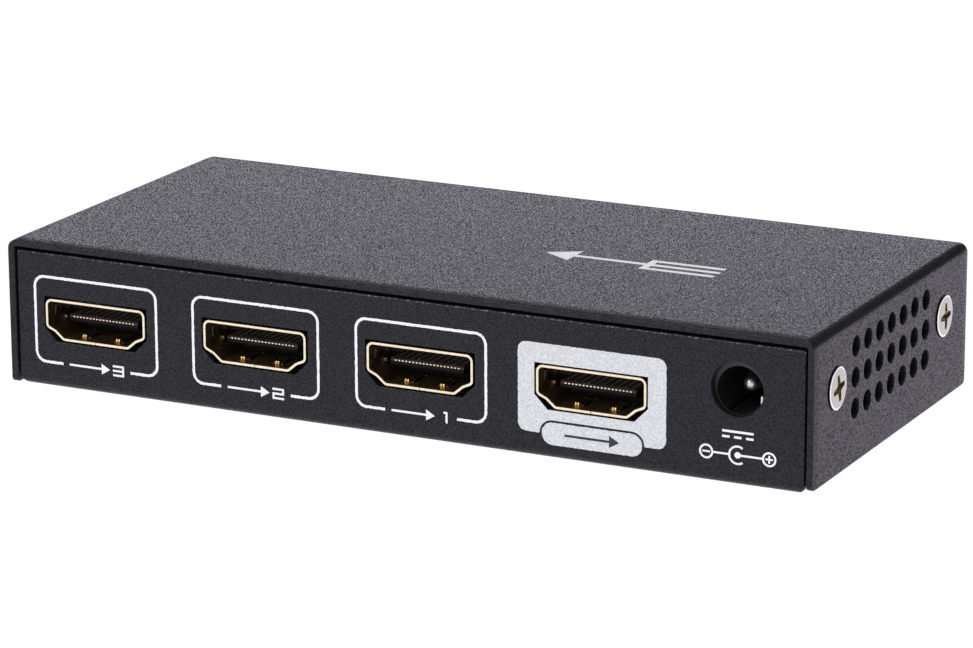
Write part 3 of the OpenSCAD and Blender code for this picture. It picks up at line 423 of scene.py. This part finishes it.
mouth_h, tongue_shade_rise = 5.2 * mm, 2.44 * mm
prong_u, prong_half, prong_w, prong_in = 2.55 * mm, 0.17 * mm, 0.27 * mm, 1.3 * mm
side_u, side_w, side_in, side_rise = 7.25 * mm, 0.5 * mm, 3.9 * mm, 1.8 * mm
for socket in ("input_3", "input_2", "input_1", "output"):
    shell = softened(socket + "_shell", socket + "_gilt_shell", 0.1 * mm)
    low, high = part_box(socket + "_shell")
    middle, rim, sole = (low.x + high.x) / 2, low.y, high.z - mouth_h
    tips = []
    for side in (-1, 1):
        for half in (-prong_half, prong_half):
            place = (middle + side * prong_u + half, rim + prong_in, sole)
            tips.append(finger_tip(place, prong_w, finger_gold))
        place = (middle + side * side_u, rim + side_in, sole + side_rise)
        tips.append(finger_tip(place, side_w, painted_shade_gilt, -90 * side))
    seated(shell, gilt, "case", "gilt_steel", socket + "_shell")
    # The inner walls and the seam take the painted shade.
    refinished(shell, painted_shade_gilt, lambda face: is_shaded_wall(face, middle, rim, sole))
    joined([shell] + tips)
    body = merged(socket + "_insulator", socket + "_tongue")
    # The moulding is cut at this height, and below it it is painted in shade.
    shade_z = sole + tongue_shade_rise
    take_up(body)
    bpy.ops.object.mode_set(mode="EDIT")
    bpy.ops.mesh.select_all(action="SELECT")
    bpy.ops.mesh.bisect(plane_co=(0, 0, shade_z), plane_no=(0, 0, 1))
    bpy.ops.object.mode_set(mode="OBJECT")
    seated(eased(body, 0.03 * mm, 1), moulding, "case", "socket_plastic", socket + "_insulator")
    refinished(body, painted_shade_moulding, lambda face: face.center.z < shade_z)
    pins = softened(socket + "_contacts", socket + "_pins", 0.03 * mm, 1)
    seated(pins, contact_gold, "case", "gilt_contact", socket + "_contacts")

# Power jack: a black moulded housing behind the panel's round hole, with a tinned centre pin and a sprung
# leaf in its bore.
black_plastic = new_finish("black_plastic", (0.012, 0.012, 0.013), 0.38)
grain(black_plastic, 0.4 * mm, rough=(0.32, 0.48), depth=0.003 * mm)
seated(softened("power_jack_housing", "jack_housing", 0.1 * mm), black_plastic, "case", "black_plastic",
       "power_jack_housing")
seated(softened("power_jack_pin", "jack_pin", 0.06 * mm), tin, "case", "tinned_brass", "power_jack_pin")
seated(softened("power_jack_spring", "jack_leaf", 0.05 * mm), tin, "case", "tinned_brass",
       "power_jack_spring")
seated(softened("power_jack_break_contact", "jack_break_strip", 0.05 * mm), tin, "case", "tinned_brass",
       "power_jack_break_contact")

# Push switch: a black base with a snap dome under its plunger, in a folded nickel frame that is soldered to
# the board. The dome flattens as the button goes in; here it only gets a mesh of its own.
seated(softened("switch_base", "push_switch_base", 0.1 * mm), black_plastic, "case", "black_plastic",
       "switch_base")
seated(softened("switch_frame", "push_switch_frame", 0.06 * mm), nickel, "case", "nickel", "switch_frame")
seated(softened("switch_terminals", "push_switch_pins", 0.05 * mm), tin, "case", "tinned_brass",
       "switch_terminals")
dome = seated(softened("switch_dome", "snap_dome", 0.01 * mm, 1), tin, "case", "tinned_brass", "switch_dome")
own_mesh(dome)
seated(softened("switch_plunger", "plunger", 0.1 * mm), black_plastic, "button", "black_plastic",
       "switch_plunger")

# Select button: a round black cap with a dished face. Its flange lies behind the control panel, and its
# sleeve sits on the switch's plunger.
button_low, button_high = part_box("select_button")
button_cap = turned("button_cap", [(r * mm, h * mm) for r, h in (
    (1.65, 2.2), (1.65, 0), (2.4, 0), (2.5, 0.1), (2.5, 1.4), (3.3, 1.4), (3.4, 1.5), (3.4, 2.1), (3.3, 2.2),
    (2.5, 2.2), (2.5, 4.3), (2.46, 4.5), (2.33, 4.68), (2.15, 4.78), (1.95, 4.8), (1.6, 4.72), (1, 4.62),
    (0.3, 4.58),
)])
button_middle = (button_low + button_high) / 2
placed(button_cap, (button_middle.x, button_low.y, button_middle.z), (-90, 0, 0))
seated(button_cap, black_plastic, "button", "black_plastic", "select_button")

# Lamps and infrared window: domed lamps of tinted clear resin in the control panel's holes, and a dark
# polished filter in front of the receiver.


def lens_finish(name, tint, clear):
    """A clear tinted resin."""
    finish = new_finish(name, tint, 0.12)
    finish.node_tree.nodes["Principled BSDF"].inputs["Transmission Weight"].default_value = clear
    return grain(finish, 1.5 * mm, rough=(0.08, 0.18))


green_lens = lens_finish("green_lens", (0.05, 0.5, 0.12), 0.5)
red_lens = lens_finish("red_lens", (0.6, 0.02, 0.02), 0.5)
dark_filter = lens_finish("dark_filter", (0.03, 0.004, 0.006), 0.2)
for lamp in ("lamp_input_1", "lamp_input_2", "lamp_input_3"):
    seated(softened(lamp, lamp.replace("lamp", "lens"), 0.06 * mm), green_lens, "case", "green_lens", lamp)
seated(softened("lamp_power", "lens_power", 0.06 * mm), red_lens, "case", "red_lens", "lamp_power")
seated(softened("infrared_window", "filter_window", 0.12 * mm), dark_filter, "case", "infrared_filter",
       "infrared_window")

# Top cover: one sheet of 1 mm steel folded down over both sides, with vent holes punched in them and
# dimpled seats for its screws. Its ends are pressed to a lip, and its left wall hangs lower than its right
# one. Its coat is a little smoother than the chassis's.
powder_coat = coat("powder_coat", 0.18 * mm, ((0.0035, 0.004, 0.0045), (0.0215, 0.022, 0.0255)), 0.02 * mm)
cover_low, cover_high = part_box("top_cover")
cover_sheet = merged("top_cover", "cover_sheet")
fold_r, lip_w, lip_roll, lip_cuts = 1.3 * mm, 2 * mm, 0.1 * mm, 5
wall_end, left_drop, right_drop = cover_low.z + 0.75 * mm, 0.6 * mm, 0.12 * mm
take_up(cover_sheet)
bpy.ops.object.mode_set(mode="EDIT")
for k in range(1, lip_cuts + 1):
    for y in (cover_low.y + k * lip_w / lip_cuts, cover_high.y - k * lip_w / lip_cuts):
        bpy.ops.mesh.select_all(action="SELECT")
        bpy.ops.mesh.bisect(plane_co=(0, y, 0), plane_no=(0, 1, 0))
bpy.ops.object.mode_set(mode="OBJECT")
for point in cover_sheet.data.vertices:
    from_end = min(point.co.y - cover_low.y, cover_high.y - point.co.y)
    fold_x = min(max(point.co.x, cover_low.x + fold_r), cover_high.x - fold_r)
    fold_z = min(point.co.z, cover_high.z - fold_r)
    out = Vector((point.co.x - fold_x, 0, point.co.z - fold_z))
    outer, out = out.length > fold_r / 2, out.normalized()
    shift = -lip_roll if outer else lip_roll * (out.x + out.z)
    point.co += shift * max(0, 1 - from_end / lip_w) ** 2 * out
    if point.co.z < wall_end:
        point.co.z -= left_drop if point.co.x < 0 else right_drop
eased(cover_sheet, 0.12 * mm, 3, clamp=False)
seated(cover_sheet, powder_coat, "case", "coated_steel", "top_cover")

# Shade strips: black foam blocks under the cover, just behind the panels' upper edges. They are a dark sheet
# put in the gaps there as painted shade, so that the gaps look dark.
gap_shade_foam = new_finish("foam_tape", (0.006, 0.006, 0.006), 0.9, specular=0.1)
grain(gap_shade_foam, 0.4 * mm, rough=(0.8, 1), depth=0.03 * mm)
sheet_t, strip_gap = 1 * mm, 0.1 * mm
strip_l, strip_t, strip_h = 108 * mm, 0.6 * mm, 1.2 * mm
strip_z = cover_high.z - sheet_t - strip_h / 2
behind = sheet_t + strip_gap + strip_t / 2
for panel, y in (("connector", panel_low.y + behind), ("control", panel_high.y - behind)):
    strip = block((strip_l, strip_t, strip_h), (0, y, strip_z))
    strip.name = f"gap_shade_strip_{panel}_panel"
    seated(eased(strip, 0.1 * mm), gap_shade_foam, "case", "rubber")

# Cover screws: four countersunk machine screws of nickel-plated steel with a raised head and a cross recess.
# They hold the cover to the chassis's side tabs.
# The face is a darker copy of the nickel and the rim a much lighter one: painted shade on the face and a
# painted highlight round the head's rim.
screw_nickel = new_finish("screw_nickel", (0.51, 0.51, 0.435), 0.25, metal=1)
grain(screw_nickel, 0.6 * mm, shades=((0.47, 0.47, 0.395), (0.55, 0.55, 0.475)), rough=(0.2, 0.34),
      depth=0.004 * mm)
rim_highlight_nickel = new_finish("screw_rim_nickel", (0.9, 0.9, 0.84), 0.16, metal=1)
grain(rim_highlight_nickel, 0.4 * mm, rough=(0.12, 0.24))
# The walls of the cross recess take a darker, browner metal than the head.
recess_metal = new_finish("recess_metal", (0.34, 0.27, 0.15), 0.35, metal=1)
grain(recess_metal, 0.2 * mm, rough=(0.25, 0.5), depth=0.01 * mm)
screw = turned("cover_screw", [(r * mm, h * mm) for r, h in (
    (1.35, -5.1), (1.5, -4.95), (1.5, -1.3), (2.72, -0.07), (2.75, -0.03), (2.7, 0), (2.5, 0.03), (2.1, 0.08),
    (1.5, 0.11), (0.9, 0.13), (0.3, 0.135),
)])
recess_span, recess_w, recess_depth, recess_over = 3.5 * mm, 1.15 * mm, 1.2 * mm, 0.3 * mm
wings = []
for turn in (0, 90):
    wing = block((recess_span, recess_w, recess_depth), (0, 0, -recess_depth / 2 + recess_over))
    bpy.ops.object.mode_set(mode="EDIT")
    bpy.ops.mesh.select_all(action="SELECT")
    bpy.ops.mesh.subdivide(number_cuts=1)
    bpy.ops.object.mode_set(mode="OBJECT")
    for axis, way, squeeze in ((2, -1, (0.45, 0.2, 1)), (0, 1, (1, 0.5, 1)), (0, -1, (1, 0.5, 1))):
        pick_faces(wing, lambda face: way * face.normal[axis] > 0.7)
        bpy.ops.transform.resize(value=squeeze, center_override=(0, 0, 0))
        bpy.ops.object.mode_set(mode="OBJECT")
    placed(wing, turn=(0, 0, turn))
    wing.data.materials.append(recess_metal)
    wings.append(wing)
screw.data.materials.append(screw_nickel)
head_r, highlight_r, head_sink = 2.75 * mm, 2.3 * mm, 0.1 * mm
# The rim's faces take the painted highlight.
refinished(screw, rim_highlight_nickel, lambda face: face.center.z > -0.06 * mm and face.normal.z < 0.995
           and Vector(face.center.xy).length > highlight_r)
for wing in wings:
    cut = screw.modifiers.new("recess", "BOOLEAN")
    cut.object = wing
    cut.solver = "EXACT"
    cut.material_mode = "TRANSFER"
apply_all(screw)
for wing in wings:
    bpy.data.objects.remove(wing)
bpy.ops.object.shade_smooth_by_angle(angle=math.radians(35))
screw_low, screw_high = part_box("cover_screws")
screw_z = (screw_low.z + screw_high.z) / 2
screw_ys = (screw_low.y + head_r, screw_high.y - head_r)
heads = []
for side in (1, -1):
    for y, turn in zip(screw_ys, (12, 2)):
        head = another(screw, "cover_screw")
        placed(head, turn=(0, 0, turn))
        heads.append(placed(head, (side * (screw_high.x - head_sink), y, screw_z), (0, side * 90, 0)))
joined(heads).name = "raised_head_screws"
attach(heads[0], "case")
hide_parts("cover_screws")
bpy.data.objects.remove(screw)

# Print on the connector panel: white ink pulled through a screen on to the coat. A frame and a numeral mark
# each input, a light field marks the output, and the jack has its polarity marks.
ink_t = 0.03 * mm


def bar(u, v, w, h, turn=0):
    """A flat bar of ink round (u, v), in millimetres on the face."""
    bpy.ops.object.select_all(action="DESELECT")
    bpy.ops.mesh.primitive_plane_add(
        size=1, location=(u * mm, v * mm, 0), rotation=(0, 0, math.radians(turn)),
    )
    mark = bpy.context.object
    mark.scale = (w * mm, h * mm, 1)
    bpy.ops.object.transform_apply(location=True, rotation=True, scale=True)
    return mark


def rounded(mark, r, steps=8):
    """Round the corners of a flat mark."""
    take_up(mark)
    bpy.ops.object.mode_set(mode="EDIT")
    bpy.ops.mesh.select_all(action="SELECT")
    bpy.ops.mesh.bevel(offset=r * mm, segments=steps, affect="VERTICES")
    bpy.ops.object.mode_set(mode="OBJECT")
    return mark


def outlined(mark, line):
    """Leave only a line along the inside of a flat mark's edge."""
    take_up(mark)
    bpy.ops.object.mode_set(mode="EDIT")
    bpy.ops.mesh.select_all(action="SELECT")
    bpy.ops.mesh.inset(thickness=line * mm)
    bpy.ops.mesh.delete(type="FACE")
    bpy.ops.object.mode_set(mode="OBJECT")
    return mark


def without(mark, chosen):
    """Take away the faces of a flat mark that a test picks."""
    pick_faces(mark, chosen)
    bpy.ops.mesh.delete(type="FACE")
    bpy.ops.object.mode_set(mode="OBJECT")
    return mark


def broken(mark, low, high, v, above=False):
    """Break a flat mark between u = low and u = high, below or above the height v."""
    take_up(mark)
    bpy.ops.object.mode_set(mode="EDIT")
    for u in (low, high):
        bpy.ops.mesh.select_all(action="SELECT")
        bpy.ops.mesh.bisect(plane_co=(u * mm, 0, 0), plane_no=(1, 0, 0))
    bpy.ops.object.mode_set(mode="OBJECT")
    return without(mark, lambda face: low * mm < face.center.x < high * mm
                   and (face.center.y > v * mm) == above)


def disc(u, v, r, corners=40, turn=0):
    """A flat round or many-sided mark."""
    bpy.ops.object.select_all(action="DESELECT")
    bpy.ops.mesh.primitive_circle_add(
        vertices=corners, radius=r * mm, fill_type="NGON", location=(u * mm, v * mm, 0),
        rotation=(0, 0, math.radians(turn)),
    )
    mark = bpy.context.object
    bpy.ops.object.transform_apply(location=True, rotation=True, scale=True)
    return mark


def arrow(u, v, length, line, turn=0):
    """A shaft and a head, pointing along +u before it is turned; (u, v) is its middle."""
    head = 3 * line
    along = Vector((math.cos(math.radians(turn)), math.sin(math.radians(turn))))
    point = (length / 2 - head) * along
    shaft = -0.75 * head * along
    return [
        bar(u + shaft.x, v + shaft.y, length - 1.5 * head, line, turn),
        disc(u + point.x, v + point.y, head, corners=3, turn=turn - 90),
    ]


def numeral(figure, u, v, w, h, line):
    """A square-cut figure of this width and height round (u, v), made of bars."""
    side, half = (w - line) / 2, (h - line) / 2
    if figure == "1":
        return [bar(u + side / 2, v, line, h), bar(u + side / 2 - line, v + half, line, line)]
    marks = [bar(u, v + k * half, w, line) for k in (-1, 0, 1)]
    upright = half - line
    marks.append(bar(u + side, v + half / 2, line, upright))
    marks.append(bar(u + (side if figure == "3" else -side), v - half / 2, line, upright))
    return marks


def frayed(mark, seed):
    """Let the edge of a flat mark wander a little, as ink does on a rough coat."""
    step, stray, rounds = 0.3 * mm, 0.03 * mm, 7
    take_up(mark)
    for _ in range(rounds):
        bpy.ops.object.mode_set(mode="EDIT")
        bpy.ops.mesh.select_mode(type="EDGE")
        bpy.ops.mesh.select_all(action="DESELECT")
        bpy.ops.object.mode_set(mode="OBJECT")
        points = mark.data.vertices
        for line in mark.data.edges:
            line.select = (points[line.vertices[0]].co - points[line.vertices[1]].co).length > step
        bpy.ops.object.mode_set(mode="EDIT")
        bpy.ops.mesh.subdivide(number_cuts=1)
        bpy.ops.object.mode_set(mode="OBJECT")
    bpy.ops.object.mode_set(mode="EDIT")
    bpy.ops.mesh.select_all(action="SELECT")
    bpy.ops.transform.vertex_random(offset=stray, uniform=1, seed=seed)
    bpy.ops.transform.resize(value=(1, 1, 0), center_override=(0, 0, 0))
    bpy.ops.object.mode_set(mode="OBJECT")
    return mark


def printed(name, marks, finish, slot, at, turn):
    """Join flat marks into one print, give it the ink's thickness and lay it on its face."""
    layer = joined(marks)
    layer.name = name
    thick = layer.modifiers.new("ink", "SOLIDIFY")
    thick.thickness = ink_t
    thick.offset = 1
    apply_all(layer)
    placed(layer, at, turn)
    return seated(layer, finish, "case", slot)


white_ink = new_finish("white_ink", (0.92, 0.92, 0.93), 0.55)
grain(white_ink, 0.3 * mm, shades=((0.84, 0.87, 0.84), (0.93, 0.96, 0.93)), depth=0.012 * mm, detail=3)
pale_ink = new_finish("pale_ink", (0.75, 0.76, 0.78), 0.55)
grain(pale_ink, 0.25 * mm, shades=((0.575, 0.605, 0.59), (0.76, 0.795, 0.775)), depth=0.012 * mm, detail=2,
      span=(0.36, 0.64))
dark_ink = new_finish("dark_ink", (0.02, 0.02, 0.022), 0.5)
grain(dark_ink, 0.3 * mm, rough=(0.42, 0.6), depth=0.01 * mm)
panel_face, facing_out = (0, panel_low.y, 0), (90, 0, 0)
input_places = {"3": -44.3, "2": -20.3, "1": 3.7}
frame_w, frame_h, frame_r, frame_line, frame_v = 18.82, 12.0, 1.6, 0.36, 10.75
gap_half, figure_line = 5.15, 0.28
frame_low = frame_v - frame_h / 2
for figure, u in input_places.items():
    border = outlined(rounded(bar(u, frame_v, frame_w, frame_h), frame_r), frame_line)
    frayed(broken(border, u - gap_half, u + gap_half, frame_low + 1), int(figure))
    figure_v = frame_low + 0.2
    marks = [border] + numeral(figure, u + 3.3, figure_v, 1.7, 1.5, figure_line)
    marks += arrow(u - 1.1, figure_v, 6.2, figure_line)
    printed("print_input_" + figure, marks, white_ink, "coated_steel", panel_face, facing_out)

field_u, field_v, field_w, field_h, field_r = 27.6, 10.585, 20.36, 11.67, 1.1
field = frayed(rounded(bar(field_u, field_v, field_w, field_h), field_r), 4)
printed("print_output_field", [field], pale_ink, "coated_steel", panel_face, facing_out)
pill_u, pill_v, pill_w, pill_h, pill_gap = 27.645, 4.79, 13.81, 2.92, 0.3
output_u, opening_w, opening_low, opening_high, opening_bevel = 27.5, 15.6, 7.85, 13.85, 1.85
opening = bar(output_u, (opening_low + opening_high) / 2, opening_w, opening_high - opening_low)
take_up(opening)
bpy.ops.object.mode_set(mode="EDIT")
bpy.ops.mesh.select_mode(type="VERT")
bpy.ops.mesh.select_all(action="DESELECT")
bpy.ops.object.mode_set(mode="OBJECT")
for corner in opening.data.vertices:
    corner.select = corner.co.y < (opening_low + opening_high) / 2 * mm
bpy.ops.object.mode_set(mode="EDIT")
bpy.ops.mesh.bevel(offset=opening_bevel * mm, offset_type="OFFSET", segments=1, affect="VERTICES")
bpy.ops.object.mode_set(mode="OBJECT")
pill_edge = bar(pill_u, pill_v, pill_w + 2 * pill_gap, pill_h + 2 * pill_gap)
rounded(pill_edge, pill_h / 2 + pill_gap - 0.01)
for cutter in (opening, pill_edge):
    thick = cutter.modifiers.new("depth", "SOLIDIFY")
    thick.thickness = 2 * mm
    thick.offset = 0
    apply_all(cutter)
    placed(cutter, panel_face, facing_out)
    cut = field.modifiers.new("cut", "BOOLEAN")
    cut.object = cutter
    cut.solver = "EXACT"
apply_all(field)
for cutter in (opening, pill_edge):
    bpy.data.objects.remove(cutter)
pill = frayed(rounded(bar(pill_u, pill_v, pill_w, pill_h), pill_h / 2 - 0.01), 5)
printed("print_output_pill", [pill], pale_ink, "coated_steel", panel_face, facing_out)
on_pill = Vector(panel_face) - Vector((0, ink_t, 0))
printed("print_output_arrow", arrow(pill_u, pill_v, 7.5, 0.3), dark_ink, "coated_steel", on_pill, facing_out)

jack_u, polarity_v, supply_v = 47.4, 5.4, 8.0
pole_u, ring_line, pole_line = 4.2, 0.26, 0.24
marks = [bar(jack_u, supply_v + 0.35, 4.2, 0.3)]
marks += [bar(jack_u + k * 1.6, supply_v - 0.35, 1, 0.3) for k in (-1, 0, 1)]
for k in (-1, 1):
    marks.append(outlined(disc(jack_u + k * pole_u, polarity_v, 0.95), ring_line))
    marks.append(bar(jack_u + k * pole_u, polarity_v, 1, pole_line))
    marks.append(bar(jack_u + pole_u, polarity_v + k * 0.31, pole_line, 0.38))
marks.append(bar(jack_u - 2.25, polarity_v, 2, ring_line))
marks.append(bar(jack_u + 1.83, polarity_v, 2.84, ring_line))
marks.append(disc(jack_u, polarity_v, 0.42, corners=24))
sleeve = outlined(disc(jack_u, polarity_v, 1.25), ring_line)
marks.append(without(sleeve, lambda face: face.center.x > (jack_u + 0.7) * mm))
printed("print_jack", marks, white_ink, "coated_steel", panel_face, facing_out)

# Print on the control panel: figures over the input lamps, a power sign, a turning arrow at the button and
# waves at the infrared window, read from +Y.
control_face, facing_back = (0, panel_high.y, 0), (90, 0, 180)
lamp_us, lamp_sign_v = {"1": -15, "2": -5, "3": 5}, 15.6
power_u, power_v = 15, 15.5
button_u, button_v = -35, 16.4
window_u, window_v = 35, 14.6
marks = []
for figure, u in lamp_us.items():
    marks += numeral(figure, u, lamp_sign_v, 1.5, 1.7, 0.28)
ring = outlined(disc(power_u, power_v, 0.9), 0.24)
marks.append(broken(ring, power_u - 0.3, power_u + 0.3, power_v, above=True))
marks.append(bar(power_u, power_v + 0.7, 0.24, 1))
ring = outlined(disc(button_u, button_v, 1.1), 0.26)
marks.append(broken(ring, button_u + 0.6, button_u + 1.4, button_v + 3.6))
marks.append(disc(button_u + 0.9, button_v + 0.5, 0.55, corners=3))
for k in (1, 2, 3):
    wave = outlined(disc(window_u, window_v, 0.4 + 0.6 * k, corners=48), 0.22)
    middle = Vector((window_u * mm, window_v * mm, 0))
    marks.append(without(wave, lambda face: abs(face.center.x - middle.x) > face.center.y - middle.y))
printed("print_controls", marks, white_ink, "coated_steel", control_face, facing_back)

# Print on the cover: a plain sign in pale ink on its coat, three lines that run into one arrow, read from the
# control side.
sign_u, sign_v, sign_line = -22, 2.7, 0.85
marks = [bar(sign_u - 7.7, sign_v + 1.9 * k, 9.4, sign_line) for k in (-1, 0, 1)]
marks += [bar(sign_u - 2.5, sign_v, 1, 4.65), bar(sign_u + 3, sign_v, 10, sign_line)]
marks.append(disc(sign_u + 9.4, sign_v, 2.8, corners=3, turn=-90))
cover_ink = new_finish("cover_ink", (0.8, 0.81, 0.84), 0.55)
grain(cover_ink, 0.25 * mm, shades=((0.72, 0.73, 0.755), (0.85, 0.86, 0.89)), depth=0.006 * mm, detail=2)
printed("print_cover", marks, cover_ink, "coated_steel", (0, 0, cover_high.z), (0, 0, 180))

# Stage: a white floor that glows like a light table, a low bright horizon with a dark screen behind on the
# right, a soft box over the camera's left shoulder and one overhead, and the camera at the photograph's
# angle.
floor_white = new_finish("floor_white", (0.03, 0.03, 0.03), 0.9, specular=0.1)
floor_shader = floor_white.node_tree.nodes["Principled BSDF"]
floor_shader.inputs["Emission Color"].default_value = (1.05, 1, 1.13, 1)
floor_shader.inputs["Emission Strength"].default_value = 1
bpy.ops.object.select_all(action="DESELECT")
bpy.ops.mesh.primitive_plane_add(size=12, location=(0, 0, 0))
floor = bpy.context.object
floor.name = "floor"
floor.data.materials.append(floor_white)

world = bpy.data.worlds.new("studio")
bpy.context.scene.world = world
world.use_nodes = True
sky = world.node_tree
direction = sky.nodes.new("ShaderNodeTexCoord")
split = sky.nodes.new("ShaderNodeSeparateXYZ")
height = sky.nodes.new("ShaderNodeMapRange")
height.inputs["From Min"].default_value = -1
height.inputs["From Max"].default_value = 1
glow = sky.nodes.new("ShaderNodeValToRGB")
sky_levels = ((0.5, 0.15), (0.56, 0.2), (0.595, 1.85), (0.625, 1.85), (0.66, 0.04), (1.0, 0.02))
while len(glow.color_ramp.elements) < len(sky_levels):
    glow.color_ramp.elements.new(0.5)
for stop, (at, level) in zip(glow.color_ramp.elements, sky_levels):
    stop.position = at
    stop.color = (1.04 * level, level, 1.14 * level, 1)
sky.links.new(direction.outputs["Generated"], split.inputs["Vector"])
sky.links.new(split.outputs["Z"], height.inputs["Value"])
sky.links.new(height.outputs["Result"], glow.inputs["Fac"])
screens = []
for axis, low, high in (("X", -0.25, -0.05), ("Y", 0.4, 0.65)):
    screen = sky.nodes.new("ShaderNodeMapRange")
    screen.inputs["From Min"].default_value = low
    screen.inputs["From Max"].default_value = high
    sky.links.new(split.outputs[axis], screen.inputs["Value"])
    screens.append(screen)
both = sky.nodes.new("ShaderNodeMath")
both.operation = "MULTIPLY"
for screen, socket in zip(screens, both.inputs):
    sky.links.new(screen.outputs["Result"], socket)
shaded = sky.nodes.new("ShaderNodeMix")
shaded.data_type = "RGBA"
shaded.inputs[7].default_value = (0.03, 0.03, 0.033, 1)
sky.links.new(both.outputs["Value"], shaded.inputs[0])
sky.links.new(glow.outputs["Color"], shaded.inputs[6])
sky.links.new(shaded.outputs[2], sky.nodes["Background"].inputs["Color"])

target = Vector((0.023 * mm, -0.6 * mm, 9.805 * mm))


def soft_box(name, at, size, power):
    """A square soft box that faces the object."""
    lamp = bpy.data.lights.new(name, "AREA")
    lamp.size = size
    lamp.energy = power
    box = bpy.data.objects.new(name, lamp)
    bpy.context.collection.objects.link(box)
    box.location = at
    box.rotation_mode = "QUATERNION"
    box.rotation_quaternion = (target - Vector(at)).to_track_quat("-Z", "Y")


soft_box("key_box", (-0.5, -0.9, 0.8), 0.7, 8)
soft_box("overhead_box", (0.15, 0.1, 1.2), 0.8, 9)

camera = bpy.data.objects.new("camera", bpy.data.cameras.new("camera"))
bpy.context.collection.objects.link(camera)
camera.data.lens = 161.73
camera.data.sensor_width = 36
camera.data.sensor_fit = "HORIZONTAL"
camera.location = (248.84 * mm, -498 * mm, 165.27 * mm)
camera.rotation_mode = "QUATERNION"
roll = Quaternion((0, 0, 1), math.radians(-0.245))
camera.rotation_quaternion = (target - camera.location).to_track_quat("-Z", "Y") @ roll
bpy.context.scene.camera = camera
bpy.context.scene.view_settings.view_transform = "Standard"
